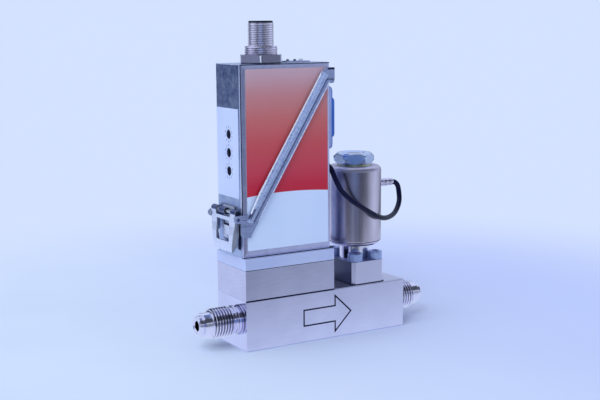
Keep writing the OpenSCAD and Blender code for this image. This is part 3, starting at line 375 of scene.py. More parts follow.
def dress(tree, shader, colour, roughness, height, bump_mm):
    """Feeds a shader its colour, roughness and bump."""
    normal = node(tree, "Bump", ("Strength", 1), ("Distance", bump_mm * MM), ("Height", height))
    for socket, value in (("Base Color", colour), ("Roughness", roughness), ("Normal", normal)):
        tree.links.new(value, shader.inputs[socket])


def darker(colour, share):
    return tuple(v * share for v in colour)


def faces_sideways(tree):
    """1 on faces that look along X, 0 on the others."""
    side = math_node(tree, "ABSOLUTE", coordinate(tree, "X", "Normal"))
    return math_node(tree, "GREATER_THAN", side, 0.9)


def groove_dirt(tree, axis_point, along, low, high):
    """Painted shade mask: 0 at radius low from an axis, in a thread's root, to 1 at radius high,
    on its crest.
    """
    offset = vector_math(tree, "SUBTRACT", row_coordinates(tree),
                         tuple(v * MM for v in axis_point))
    across = vector_math(tree, "MULTIPLY", offset, tuple(1 - share for share in along))
    reach = vector_math(tree, "LENGTH", across, out="Value")
    return share_between(tree, reach, low * MM, high * MM)


def metal(name, dark, light, rough, grain, grain_bump, seed, metallic=1.0, side_painted_shade=None,
          side_rough=None, groove=None, root_shade_share=None):
    """Metal with a cloudy tone and a directional grain; rough is (low, high)."""
    material, tree, shader = nodes_of(name, ("Metallic", metallic))
    lines = noise(tree, grain, 5, 0.65, seed + 3)
    tone = weighted(tree, (noise(tree, 60, 3, seed=seed), 0.5), (lines, 0.5))
    colour = ramp(tree, tone, [(0.32, dark), (0.68, light)])
    roughness = ramp(tree, lines, [(0.3, rough[0]), (0.7, rough[1])])
    roughness = mix(tree, noise(tree, 90, 2, seed=seed + 7), roughness, rough[1] + 0.06)
    # Painted shade: faces that look along X take the dark side_painted_shade colour
    if side_painted_shade:
        colour = mix(tree, faces_sideways(tree), colour, side_painted_shade)
    if side_rough:
        roughness = mix(tree, faces_sideways(tree), roughness, side_rough)
    # Painted shade in the thread roots, root_shade_share of the dark colour
    if groove:
        colour = mix(tree, groove_dirt(tree, *groove), darker(dark, root_shade_share), colour)
    dress(tree, shader, colour, roughness, lines, grain_bump)
    return material


def plastic(name, dark, light, rough, grain=1500, grain_bump=0.01, specular=0.5):
    """Moulded plastic or rubber with a fine grain and a slightly uneven tone."""
    material, tree, shader = nodes_of(name, ("Specular IOR Level", specular))
    colour = ramp(tree, noise(tree, 70, 3, seed=1), [(0.3, dark), (0.7, light)])
    fine = noise(tree, grain, 2, seed=6)
    dress(tree, shader, colour, ramp(tree, fine, [(0.3, rough[0]), (0.7, rough[1])]), fine,
          grain_bump)
    return material


def zinc(name, dark, light, rough, scale, seed, bump_mm=0.02, cloud=110, metallic=1.0,
         speck=0.28, crystal=0.22, flank_painted_shade=None):
    """Mottled metal: crystal patches and fine specks over a cloudy tone."""
    material, tree, shader = nodes_of(name, ("Metallic", metallic))
    patches = node(tree, "TexVoronoi", ("Scale", scale), ("Vector", row_coordinates(tree)),
                   out="Color")
    tone = weighted(tree, (noise(tree, cloud, 5, 0.7, seed), 1 - speck - crystal),
                    (node(tree, "SeparateColor", (0, patches)), crystal),
                    (noise(tree, scale * 4, 2, seed=seed + 4), speck))
    colour = ramp(tree, tone, [(0.34, dark), (0.66, light)])
    # Painted shade: faces that don't look along X, such as the lever's flanges, take a darker flat
    # colour
    if flank_painted_shade:
        colour = mix(tree, faces_sideways(tree), darker(light, flank_painted_shade), colour)
    dress(tree, shader, colour, ramp(tree, tone, [(0.34, rough[0]), (0.66, rough[1])]), tone,
          bump_mm)
    return material


LABEL_EDGE = 70.4
LABEL_BULGE = 1.1
LABEL_BLUR = 0.15
LABEL_FADE = [
    (0, (0.60, 0.006, 0.028)), (0.08, (0.60, 0.010, 0.040)), (0.2, (0.62, 0.046, 0.078)),
    (0.4, (0.64, 0.080, 0.088)), (0.6, (0.64, 0.158, 0.146)), (0.8, (0.62, 0.26, 0.262)),
    (0.95, (0.62, 0.40, 0.45)), (1, (0.63, 0.43, 0.47))]


def label_material():
    """White foot, then deep red that fades upwards; bare where words would be."""
    material, tree, shader = nodes_of("label_print")
    x, z = coordinate(tree, "X"), coordinate(tree, "Z")
    share = share_between(tree, z, LABEL_EDGE * MM, label_high.z * MM)
    soft = noise(tree, (45, 45, 30), 2, seed=4)
    fade = mix(tree, math_node(tree, "MULTIPLY", soft, 0.16), ramp(tree, share, LABEL_FADE),
               (0.52, 0.05, 0.08))
    white = ramp(tree, soft, [(0.3, (0.67, 0.78, 0.98)), (0.7, (0.71, 0.81, 1.0))])
    middle = (label_low.x + label_high.x) / 2 * MM
    half = (label_high.x - label_low.x) / 2 * MM
    across = math_node(tree, "DIVIDE", math_node(tree, "SUBTRACT", x, middle), half)
    dip = math_node(tree, "SUBTRACT", 1, math_node(tree, "MULTIPLY", across, across))
    arc = math_node(tree, "MULTIPLY", dip, LABEL_BULGE * MM)
    above = math_node(tree, "SUBTRACT", z, math_node(tree, "ADD", arc, LABEL_EDGE * MM))
    edge = math_node(tree, "MULTIPLY_ADD", above, 1 / (LABEL_BLUR * MM), 0.5)
    dots = noise(tree, 1400, 1, seed=9)
    dress(tree, shader, mix(tree, node(tree, "Clamp", (0, edge)), white, fade),
          ramp(tree, dots, [(0.3, 0.38), (0.7, 0.5)]), dots, 0.004)
    return material


def sticker_material():
    """Pale film of the side label."""
    material, tree, shader = nodes_of("sticker_film")
    soft = noise(tree, (60, 60, 45), 2, seed=3)
    fibre = noise(tree, 1100, 2, seed=6)
    dress(tree, shader, ramp(tree, soft, [(0.3, (0.60, 0.67, 0.93)), (0.7, (0.65, 0.72, 0.96))]),
          ramp(tree, fibre, [(0.3, 0.42), (0.7, 0.6)]), fibre, 0.006)
    return material


GRAIN_UP = (200, 200, 2400)
GRAIN_ROUND = (500, 500, 500)
CONNECTOR_AXIS = ((-26.4, 0, 0), (0, 0, 1))
FITTING_AXIS = ((0, 0, 11.5), (1, 0, 0))
LOOKS = {
    "body": metal("body_ground_steel", (0.66, 0.66, 0.84), (0.80, 0.79, 0.97), (0.22, 0.32),
                  (70, 900, 2600), 0.003, 1, side_rough=0.05),
    "block": metal("block_steel", (0.60, 0.59, 0.76), (0.74, 0.73, 0.90), (0.26, 0.36),
                   (120, 700, 1500), 0.003, 11, side_rough=0.12),
    "plate": metal("plate_aluminium", (0.59, 0.66, 0.99), (0.69, 0.75, 1.0), (0.28, 0.36),
                   (40, 900, 3200), 0.002, 21, metallic=0.5),
    # Valve block: painted shade on its sides that look along X
    "valve_block": metal("valve_block_steel", (0.70, 0.69, 0.86), (0.82, 0.80, 0.97),
                         (0.22, 0.32), (900, 900, 2200), 0.003, 131,
                         side_painted_shade=(0.07, 0.08, 0.13)),
    "fitting": metal("fitting_bright", (0.74, 0.72, 0.86), (0.88, 0.86, 0.98), (0.06, 0.12),
                     (2600, 300, 300), 0.002, 31),
    # Painted shade darkens the roots of this thread
    "fitting_thread": metal("fitting_thread", (0.74, 0.72, 0.86), (0.88, 0.86, 0.98),
                            (0.08, 0.14), (2600, 300, 300), 0.002, 33,
                            groove=(*FITTING_AXIS, 6.2, 6.9), root_shade_share=0.26),
    "nickel": metal("nickel_plate", (0.62, 0.57, 0.72), (0.80, 0.74, 0.90), (0.14, 0.22),
                    GRAIN_UP, 0.002, 41),
    # Painted shade darkens the roots of the connector's threads
    "nickel_thread": metal("nickel_thread", (0.90, 0.85, 0.98), (1.0, 0.97, 1.0), (0.12, 0.18),
                           GRAIN_UP, 0.002, 43, metallic=0.88,
                           groove=(*CONNECTOR_AXIS, 5.66, 5.92), root_shade_share=0.72),
    "nickel_base": metal("nickel_base_thread", (0.86, 0.80, 0.96), (0.98, 0.93, 1.0),
                         (0.12, 0.18), GRAIN_UP, 0.002, 44, metallic=0.88,
                         groove=(*CONNECTOR_AXIS, 7.26, 7.52), root_shade_share=0.72),
    "hexagon": metal("connector_hexagon", (0.33, 0.32, 0.43), (0.44, 0.42, 0.54), (0.09, 0.14),
                     GRAIN_UP, 0.002, 45),
    "chrome": metal("chrome_neck", (0.70, 0.68, 0.80), (0.86, 0.84, 0.94), (0.05, 0.10),
                    GRAIN_UP, 0.001, 51),
    "can": metal("can_brushed", (0.61, 0.54, 0.64), (0.78, 0.70, 0.80), (0.16, 0.22),
                 (2200, 2200, 45), 0.004, 61),
    "can_edge": metal("can_edge", (0.62, 0.56, 0.68), (0.76, 0.70, 0.82), (0.36, 0.44),
                      (900, 900, 900), 0.003, 66),
    "nut": metal("nut_blue_zinc", (0.52, 0.62, 0.86), (0.68, 0.77, 0.98), (0.14, 0.22),
                 GRAIN_ROUND, 0.004, 71),
    # Painted shade: a darker copy of the nut's zinc for its front and back flats
    "nut_painted_shade": metal("nut_blue_painted_shade", (0.20, 0.28, 0.64), (0.36, 0.46, 0.86), (0.12, 0.20),
                      GRAIN_ROUND, 0.004, 73),
    "screw": metal("screw_zinc", (0.38, 0.48, 0.78), (0.56, 0.66, 0.94), (0.22, 0.32),
                   (600, 600, 600), 0.004, 81),
    "inner": metal("inner_steel", (0.42, 0.42, 0.44), (0.56, 0.56, 0.58), (0.28, 0.4),
                   (700, 700, 700), 0.002, 101),
    "brass": metal("brass", (0.60, 0.46, 0.20), (0.78, 0.62, 0.30), (0.2, 0.32),
                   (500, 500, 1500), 0.002, 111),
    "washer": metal("washer_yellow_zinc", (0.56, 0.60, 0.34), (0.76, 0.80, 0.46), (0.2, 0.32),
                    GRAIN_ROUND, 0.002, 115),
    "gold": metal("contact_gold", (0.80, 0.58, 0.22), (0.92, 0.70, 0.30), (0.14, 0.22),
                  (500, 500, 1500), 0.001, 121),
    # Painted highlight: bright, almost unmetallic zinc for glints on edges and corners
    "edge_glint": zinc("painted_edge_glint", (0.78, 0.82, 0.98), (0.92, 0.95, 1.0), (0.2, 0.3),
                       900, 48, 0.004, metallic=0.1),
    "strap": zinc("strap_zinc", (0.28, 0.34, 0.54), (0.48, 0.54, 0.80), (0.30, 0.46), 1400, 5,
                  metallic=0.6, speck=0.2, crystal=0.14),
    # Painted shade: a dark copy of the strap zinc for the grooves, the feet and the lines across
    # the foot
    "strap_dark": zinc("strap_painted_shade_zinc", (0.08, 0.10, 0.22), (0.22, 0.26, 0.46), (0.30, 0.46),
                       1400, 25, metallic=0.5),
    "strap_bright": zinc("strap_bright_zinc", (0.30, 0.38, 0.70), (0.70, 0.80, 1.0),
                         (0.24, 0.40), 2400, 15, 0.04, 700, 0.5, 0.4, 0.12),
    # Lever: painted shade on its flanges
    "lever": zinc("lever_zinc", (0.72, 0.77, 0.98), (0.80, 0.84, 1.0), (0.24, 0.36), 900, 8,
                  0.008, metallic=0.6, flank_painted_shade=0.42),
    # Painted shade: a dark copy of the latch zinc for the rolled knuckles and pivot pins
    "knuckle": zinc("knuckle_painted_shade", (0.035, 0.05, 0.15), (0.12, 0.15, 0.30), (0.26, 0.40),
                    900, 28, metallic=0.5),
    "shell": zinc("housing_zinc", (0.34, 0.44, 0.78), (0.74, 0.84, 1.0), (0.28, 0.42), 900, 2,
                  cloud=230, speck=0.18, crystal=0.10),
    # Painted highlight: bright zinc for lit rims and edges, rivet heads and the hook
    "rim": zinc("rim_painted_highlight", (0.56, 0.62, 0.86), (0.78, 0.83, 1.0), (0.18, 0.28), 1200, 38,
                0.008, metallic=0.35),
    "cover": zinc("cover_satin", (0.56, 0.57, 0.80), (0.72, 0.73, 0.98), (0.26, 0.40), 1500, 18,
                  0.012, 200, 0.85, 0.2, 0.1),
    "black": plastic("black_plastic", (0.004, 0.005, 0.020), (0.012, 0.014, 0.040), (0.4, 0.55),
                     specular=0.3),
    "rubber": plastic("seal_rubber", (0.004, 0.005, 0.016), (0.012, 0.013, 0.030), (0.5, 0.7),
                      specular=0.3),
    "jacket": plastic("lead_jacket", (0.003, 0.003, 0.022), (0.006, 0.007, 0.040), (0.12, 0.18),
                      900, 0.004, 0.26),
    "blue": plastic("cap_blue", (0.018, 0.12, 0.52), (0.030, 0.17, 0.64), (0.30, 0.42)),
    "cap_skirt": plastic("cap_skirt", (0.42, 0.48, 0.80), (0.52, 0.58, 0.90), (0.30, 0.42)),
    "switch": plastic("switch_plastic", (0.010, 0.014, 0.06), (0.02, 0.026, 0.09), (0.4, 0.5),
                      specular=0.3),
    "rotor": plastic("rotor_plastic", (0.002, 0.002, 0.018), (0.005, 0.006, 0.030), (0.35, 0.5),
                     specular=0.25),
    "lens": plastic("lamp_lens", (0.03, 0.035, 0.06), (0.05, 0.06, 0.10), (0.08, 0.14)),
    "button": plastic("button_plastic", (0.58, 0.62, 0.74), (0.68, 0.72, 0.84), (0.3, 0.4)),
    "board": plastic("board_laminate", (0.012, 0.10, 0.04), (0.02, 0.15, 0.06), (0.3, 0.45)),
    "varnish": plastic("winding_varnish", (0.20, 0.05, 0.02), (0.34, 0.10, 0.03), (0.25, 0.4),
                       2500, 0.05),
    # Dark lines: the engraved arrow, joints and seams, and also painted shade and shadow lines
    "dark_line": plastic("engraving_seam_and_painted_shade", (0.004, 0.006, 0.026), (0.012, 0.015, 0.048),
                         (0.5, 0.7), specular=0.15),
    "dial_ink": plastic("dial_ink", (0.016, 0.02, 0.10), (0.026, 0.03, 0.14), (0.45, 0.6)),
    "label": label_material(),
    "sticker": sticker_material(),
}

# CAD nodes that stay visible, by their look
NODES_BY_LOOK = {
    "body": "flow_body", "block": "sensor_block", "plate": "base_plate",
    "inner": "inlet_filter laminar_rod laminar_discs sensor_flange sensor_tube sensor_cap "
             "valve_core valve_plunger plunger_spring",
    "rubber": "sensor_block_seals m12_seal valve_block_seal lead_grommet",
    "screw": "block_screws dsub_jack_screws", "varnish": "sensor_windings coil_winding",
    "shell": "housing_shell", "label": "front_label", "sticker": "side_label",
    "board": "circuit_board", "black": "board_components m12_insert dsub_insert",
    "switch": "rotary_switch_bodies coil_bobbin",
    "rotor": "switch_rotor_1 switch_rotor_2 switch_rotor_3",
    "nickel": "m12_nut dsub_shell coil_ring", "gold": "m12_contacts dsub_contacts",
    "cover": "indicator_plate", "lens": "status_leds", "button": "push_button",
    "lever": "latch_bracket latch_pin latch_lever", "knuckle": "bail_pivots",
    "strap": "bail", "valve_block": "valve_block", "brass": "valve_seat",
    "chrome": "valve_sleeve", "washer": "coil_washer",
}
for look, names in NODES_BY_LOOK.items():
    for name in names.split():
        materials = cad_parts[name].data.materials
        materials.clear()
        materials.append(LOOKS[look])


# Rounded edges on the CAD nodes

EDGE_ROUNDING = {
    "flow_body": 0.2, "sensor_block": 0.25, "base_plate": 0.2, "valve_block": 0.3,
    "housing_shell": 0.15, "latch_lever": 0.12, "latch_bracket": 0.15,
    "bail": 0.18, "dsub_shell": 0.1, "indicator_plate": 0.08,
}
# Modifiers only: the CAD meshes stay as they are
for name, width in EDGE_ROUNDING.items():
    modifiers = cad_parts[name].modifiers
    modifiers.new("weld", "WELD").merge_threshold = 1e-6
    flat = modifiers.new("flat", "DECIMATE")
    flat.decimate_type = "DISSOLVE"
    flat.angle_limit = math.radians(0.5)
    bevel = modifiers.new("bevel", "BEVEL")
    bevel.width = width * MM
    bevel.segments = 2
    bevel.limit_method = "ANGLE"
    bevel.angle_limit = math.radians(40)
    bevel.harden_normals = True


# Coil lead

LEAD_FROM_GLAND = [
    (-1.6, 0, 0), (-0.1, 0, 0), (1.6, -0.4, -0.5), (2.6, -1.2, -2.1), (2.5, -2.4, -5.1),
    (1.3, -4.4, -8.8), (-1.2, -6.4, -11.9), (-4.8, -8.8, -14.1), (-9.4, -11.4, -15.1),
    (-14.6, -14, -14.9), (-19.8, -15.9, -13.3), (-24.2, -16.44, -11)]
LEAD_TO_WALL = [
    (15.1, -9.02, -20), (10.7, -8.5, -17.1), (7.5, -7.3, -14.3), (5.3, -5.7, -11.5),
    (4.3, -4.3, -8.7), (3.7, -2.9, -6), (3.3, -1.5, -3.4), (2.8, -0.5, -1.4),
    (1.7, -0.1, -0.2), (0.3, 0, 0), (-1.5, 0, 0)]
LEAD_D = 2.5
GLAND_END = Vector((gland_high.x, 0, (gland_low.z + gland_high.z) / 2))
WALL_EXIT = Vector((2.9, (grommet_low.y + grommet_high.y) / 2,
                    (grommet_low.z + grommet_high.z) / 2))


def smooth_path(points, steps):
    """Catmull-Rom curve through the points."""
    path = []
    last = len(points) - 1
    for i in range(last):
        a, b = points[max(i - 1, 0)], points[i]
        c, d = points[i + 1], points[min(i + 2, last)]
        for s in range(steps):
            t = s / steps
            path.append(0.5 * ((2 * b) + (c - a) * t + (2 * a - 5 * b + 4 * c - d) * t * t
                               + (3 * b - a - 3 * c + d) * t ** 3))
    path.append(points[last])
    return path


def tube_rings(path, radius, sides):
    """Rings round a path, carried along it without twist."""
    rings = []
    side = Vector((0, 1, 0))
    for i, point in enumerate(path):
        heading = (path[min(i + 1, len(path) - 1)] - path[max(i - 1, 0)]).normalized()
        side = (side - heading * side.dot(heading)).normalized()
        other = heading.cross(side)
        rings.append([point + radius * (math.cos(a) * side + math.sin(a) * other)
                      for a in steps_round(sides)])
    return rings


lead_path = smooth_path([GLAND_END + Vector(p) for p in LEAD_FROM_GLAND]
                        + [WALL_EXIT + Vector(p) for p in LEAD_TO_WALL], 8)
piece("lead_tube", loft(tube_rings(lead_path, LEAD_D / 2, 24)), "jacket",
      stands_for=("coil_lead",))


# Port fittings

PORT_Z = (inlet_low.z + inlet_high.z) / 2
FIT_PITCH = 1.411
FIT_THREAD_R = (inlet_high.z - inlet_low.z) / 2
FIT_END = -inlet_low.x
FIT_FACE = body_high.x
FIT_THREAD_FROM = FIT_FACE + 2
FIT_THREAD_TO = FIT_END - 6.6
FIT_NOSE = FIT_END - 2.3
FITTING = (
    [(FIT_FACE - 0.5, 6.9), (FIT_FACE, 6.9), (FIT_FACE + 0.05, 7.1), (FIT_FACE + 0.35, 7.14),
     (FIT_FACE + 0.6, 7.0), (FIT_FACE + 0.75, 6.45), (FIT_FACE + 1.9, 6.4)]
    + thread_stations(FIT_THREAD_FROM, FIT_THREAD_TO, FIT_THREAD_R, FIT_PITCH, 0.8)
    + [(FIT_THREAD_TO + 0.05, 6.2), (FIT_THREAD_TO + 0.35, 5.75), (FIT_NOSE - 0.35, 5.75),
       (FIT_NOSE - 0.05, 5.5), (FIT_NOSE, 4.6), (FIT_NOSE + 0.1, 4.5), (FIT_END - 0.5, 4.5),
       (FIT_END - 0.35, 4.4), (FIT_END - 0.3, 4.1), (FIT_END - 0.08, 3.9), (FIT_END, 3.6),
       (FIT_END - 0.08, 3.3), (FIT_END - 0.3, 3.1), (FIT_END - 0.35, 2.6),
       (FIT_END - 0.6, 2.35), (FIT_END - 1, 2.3), (FIT_FACE - 0.5, 2.3)])
for name, stands_for, side in (("inlet_turning", "inlet_fitting", -1),
                               ("outlet_turning", "outlet_fitting", 1)):
    fitting = piece(name, turned(FITTING, along_x(PORT_Z, side), pitch=FIT_PITCH),
                    "fitting", stands_for=(stands_for,))
    second_look(fitting, "fitting_thread", lambda face: (
        FIT_FACE + 1.95 < abs(face.center.x) / MM < FIT_END - 6.65))


# Round connector

M12_X = (m12_low.x + m12_high.x) / 2
M12_TOP = m12_high.z
M12_HEX_LOW = shell_high.z + 0.4
M12_HEX_HIGH = M12_HEX_LOW + 3.45
M12_BASE_END = M12_HEX_HIGH + 3.9
M12_BORE_R = 5.15
M12_PITCH = 1.0
THREAD_SHARE = 0.58
WORN_CREST = 0.24
WORN_ROOT = 0.26
HEX_AF = 18.7


def m12_shell_mesh():
    """Hexagon and base thread, then the finer mating thread, over one bore."""
    base = [(m12_low.z, 7.0), (m12_low.z + 0.4, 7.4), (M12_HEX_LOW + 0.1, 7.4),
            (M12_HEX_HIGH - 0.1, 7.4)]
    base += thread_stations(M12_HEX_HIGH, M12_BASE_END - 0.1, 7.6, M12_PITCH, 0.5, THREAD_SHARE)
    base += [(M12_BASE_END, 6.5), (M12_BASE_END + 0.02, 5.6), (M12_BASE_END + 0.02, M12_BORE_R),
             (m12_low.z, M12_BORE_R)]
    mating = [(M12_BASE_END - 0.3, 5.4)]
    mating += thread_stations(M12_BASE_END, M12_TOP - 0.05, 6.0, M12_PITCH, 0.4, THREAD_SHARE)
    mating += [(M12_TOP, 5.5), (M12_TOP, 5.3), (M12_TOP - 0.2, M12_BORE_R),
               (M12_BASE_END - 0.3, M12_BORE_R)]
    corner = HEX_AF / 2 / math.cos(TURN / 12)
    levels = [(M12_HEX_LOW, corner - 0.4), (M12_HEX_LOW + 0.12, corner - 0.16),
              (M12_HEX_HIGH - 0.3, corner - 0.16), (M12_HEX_HIGH - 0.14, corner - 0.45),
              (M12_HEX_HIGH, corner - 0.9)]
    centre = (M12_X, 0)
    rings = hex_rings(levels, HEX_AF / 2, centre, segments=192)
    rings += [round_ring(z, 7.0, centre, 192) for z in (M12_HEX_HIGH, M12_HEX_LOW)]
    return joined([turned(rows, upright(M12_X), pitch=M12_PITCH, crest=WORN_CREST,
                          root=WORN_ROOT) for rows in (base, mating)]
                  + [loft(rings, closed_along=True)])


def on_hexagon(face):
    return face.center.z / MM < M12_HEX_HIGH + 0.01


def on_corner(face):
    angle = math.degrees(math.atan2(face.center.y, face.center.x - M12_X * MM))
    return on_hexagon(face) and abs((angle + 30) % 60 - 30) < 1.9 and abs(face.normal.z) < 0.3


connector = piece("m12_turning", m12_shell_mesh(), "nickel_thread", sharp=28,
                  stands_for=("m12_shell",))
second_look(connector, "nickel_base", lambda face: face.center.z / MM < M12_BASE_END)
second_look(connector, "hexagon", on_hexagon)
# Painted highlight on the hexagon's corners
second_look(connector, "edge_glint", on_corner)

collar_top = box_mm("m12_insert")[1].z
collar = [(M12_TOP - 0.1, 5.2), (M12_TOP - 0.1, 5.5), (collar_top - 0.3, 5.5),
          (collar_top - 0.06, 5.38), (collar_top, 5.2), (collar_top, 4.75),
          (collar_top - 0.1, 4.6), (M12_TOP - 0.1, 4.6)]
piece("m12_collar", loft([round_ring(z, r, (M12_X, 0)) for z, r in collar], closed_along=True),
      "black")


# Housing cover: rim with painted highlight, dark seam, frame, and painted shadow of the latch

RIM_W = 0.12
RIM_FRONT = -11.35
RIM_BACK = -10.45
LATCH_TOP = 60.8
TOP_SEAM = 0.3
# From the back to the front: y, then how far the left, right, foot and head edges draw in
COVER_EDGE = [
    (cover_high.y, 0, 0, 0, 0), (cover_low.y + 1.3, 0, 0, 0, 0), (cover_low.y + 0.8, 0, 0.1, 0, 0),
    (cover_low.y + 0.45, 0, 0.32, 0.02, 0.02), (cover_low.y + 0.2, 0.04, 0.62, 0.08, 0.08),
    (cover_low.y + 0.06, 0.08, 0.92, 0.18, 0.18), (cover_low.y, 0.16, 1.2, 0.32, 0.32)]
# Painted shadow of the latch lever's flange on the left wall
LATCH_SHADOW_OUTLINE = [(-7.4, 46.3), (-9.9, 46.3), (-11.35, 57.4), (-11.35, LATCH_TOP), (-8.6, LATCH_TOP)]


def frame_ring(y, low, high, left=0.0, right=0.0, foot=0.0, head=0.0, round_r=0.25):
    """Rectangle with round corners in the XZ plane at y, drawn in on each side."""
    x0, x1 = low.x + left, high.x - right
    z0, z1 = low.z + foot, high.z - head
    points = []
    for cx, cz, start in ((x1 - round_r, z0 + round_r, -0.25), (x1 - round_r, z1 - round_r, 0),
                          (x0 + round_r, z1 - round_r, 0.25), (x0 + round_r, z0 + round_r, 0.5)):
        for k in range(5):
            angle = TURN * (start + k / 16)
            points.append((cx + round_r * math.cos(angle), y, cz + round_r * math.sin(angle)))
    return points


cover_from = Vector((cover_low.x + RIM_W, 0, cover_low.z))
cover_to = Vector((cover_high.x, 0, cover_high.z - TOP_SEAM))
cover_rings = [frame_ring(y, cover_from, cover_to, *edges) for y, *edges in COVER_EDGE]
cover_rings += [frame_ring(y, label_low, label_high) for y in (cover_low.y, label_high.y)]
piece("cover_frame", loft(cover_rings), "cover", sharp=50,
      stands_for=("housing_cover",))
# Painted highlight: bright bars along the cover's left front edge and the wall's top edge
piece("cover_rim", joined([
    bar(cover_low.x - 0.02, cover_low.x + RIM_W, RIM_FRONT, RIM_BACK, LATCH_TOP, cover_high.z,
        0.02),
    bar(cover_low.x - 0.02, cover_low.x + RIM_W, RIM_BACK, shell_high.y - 0.8,
        cover_high.z - 0.3, cover_high.z, 0.02)]), "rim")
piece("cover_seam", joined([
    bar(cover_low.x, cover_low.x + RIM_W + 0.05, cover_low.y + 0.16, RIM_FRONT, 57.4,
        cover_high.z - 0.1, 0.02),
    bar(cover_low.x + RIM_W, cover_high.x - 0.3, cover_low.y + 0.15, cover_high.y,
        cover_high.z - TOP_SEAM - 0.05, cover_high.z - 0.06, 0.02)]), "dark_line")
# Painted shadow: dark sheet on the wall beside the lever's flange
piece("latch_flange_shadow", loft([[(x, y, z) for y, z in LATCH_SHADOW_OUTLINE]
                          for x in (cover_low.x - 0.03, cover_low.x + 0.1)]),
      "dark_line")


# Joint lines between the stacked blocks

def joint_line(low, high, z, height, inset=0.02):
    """Thin dark ring round a stack of blocks, in the groove of their rounded edges."""
    return loft([[(low.x + e, low.y + e, level), (high.x - e, low.y + e, level),
                  (high.x - e, high.y - e, level), (low.x + e, high.y - e, level)]
                 for e, level in ((0.6, z - height / 2), (inset, z - height / 2),
                                  (inset, z + height / 2), (0.6, z + height / 2))],
                closed_along=True)


piece("joint_lines", joined([
    joint_line(sensor_low, sensor_high, sensor_low.z, 0.5),
    joint_line(plate_low, plate_high, plate_low.z, 0.3),
    joint_line(block_low, block_high, block_low.z + 0.1, 0.7, 0.2),
    joint_line(Vector((shell_low.x, cover_low.y, 0)), shell_high, plate_high.z, 0.5)]),
    "dark_line")
FRONT_JOINTS = [(sensor_low.x, sensor_high.x, sensor_low.y, sensor_low.z + 0.05, 0.68),
                (plate_low.x, plate_high.x, plate_low.y, plate_low.z, 0.26),
                (shell_low.x, cover_high.x, cover_low.y, plate_high.z + 0.12, 0.5),
                (block_low.x + 0.5, block_high.x - 0.9, block_low.y, block_low.z + 0.2, 0.4)]
piece("joint_shadows", joined([
    bar(x0 + 0.1, x1 - 0.1, y - 0.012, y + 0.4, z - height / 2, z + height / 2, 0.01)
    for x0, x1, y, z, height in FRONT_JOINTS]), "dark_line")


# Dust cap: blue plug over a pale skirt

CAP_SKIRT_X = 7.35
CAP_BASE_X = 8.1
CAP_Z = (cap_low.z + cap_high.z) / 2
# Height, width and corner radius
CAP_PLUG = (19.1, 10.6, 2.2)
CAP_FLANGE = (29.5, 12.5, 2.4)


def cap_part(name, form, look, stations, stands_for=()):
    """Rounded block along X from stations (x, inset)."""
    size_z, size_y, corner_r = form
    rings = []
    for x, inset in stations:
        hy, hz = size_y / 2 - inset, size_z / 2 - inset
        r = max(corner_r - inset, 0.2)
        rings.append([(x, sy * (hy - r) + r * math.cos(angle),
                       CAP_Z + sz * (hz - r) + r * math.sin(angle))
                      for sy, sz, start in ((1, 1, 0), (-1, 1, 0.25), (-1, -1, 0.5), (1, -1, 0.75))
                      for angle in (TURN * (start + k / 24) for k in range(7))])
    piece(name, loft(rings), look, "cap", 50, stands_for)


cap_part("cap_plug", CAP_PLUG, "blue", [
    (CAP_BASE_X - 0.4, 0.5), (CAP_BASE_X, 0), (cap_high.x - 0.9, 0.05),
    (cap_high.x - 0.35, 0.25), (cap_high.x - 0.08, 0.7), (cap_high.x, 1.3)])
cap_part("cap_skirt", CAP_FLANGE, "cap_skirt", [
    (cap_low.x, 0.3), (cap_low.x + 0.3, 0), (CAP_SKIRT_X, 0), (CAP_SKIRT_X, 1.6)],
    ("dust_cap",))
cap_part("cap_base", CAP_FLANGE, "blue", [
    (CAP_SKIRT_X - 0.1, 0.06), (CAP_BASE_X - 0.3, 0.06), (CAP_BASE_X - 0.08, 0.25),
    (CAP_BASE_X, 0.7)])


# Bail: raised band, groove and rim on both straps, with painted shade and painted highlights

STRAP_ANGLE = math.radians(57.995)
STRAP_FROM = Vector((-41.125, 56.625))
STRAP_FACE = bail_high.y
EDGE = 2.75
BAND_T = 0.3
LIP = 0.9
LIP_FROM = 6
LIP_FULL = 16


def strip_mesh(side, outline, low, high):
    """Strip along one strap from an outline (across, height).

    From LIP_FROM to LIP_FULL along the strap, points near its edge move out by LIP.
    """
    along = Vector((math.cos(STRAP_ANGLE), math.sin(STRAP_ANGLE)))
    across = Vector((-along.y, along.x))
    rings = []
    middle = [(s, 1.0) for s in (LIP_FROM, (LIP_FROM + LIP_FULL) / 2, LIP_FULL) if s < high - 1]
    for s, lift in ([(low, 0.0), (low + 0.3, 0.6), (low + 0.8, 1.0)] + middle
                    + [(high - 0.8, 1.0), (high - 0.3, 0.6), (high, 0.0)]):
        ring = []
        for w, h in outline + [(outline[-1][0], -0.3), (outline[0][0], -0.3)]:
            if w > EDGE - 0.8:
                w += LIP * smooth_step((s - LIP_FROM) / (LIP_FULL - LIP_FROM))
            point = STRAP_FROM + along * s + across * w
            ring.append((point.x, side * (STRAP_FACE + (h * lift if h > 0 else h)), point.y))
        rings.append(ring)
    return loft(rings)


def bail_piece(name, mesh_data, look, sharp=50):
    piece(name, mesh_data, look, "bail", sharp)


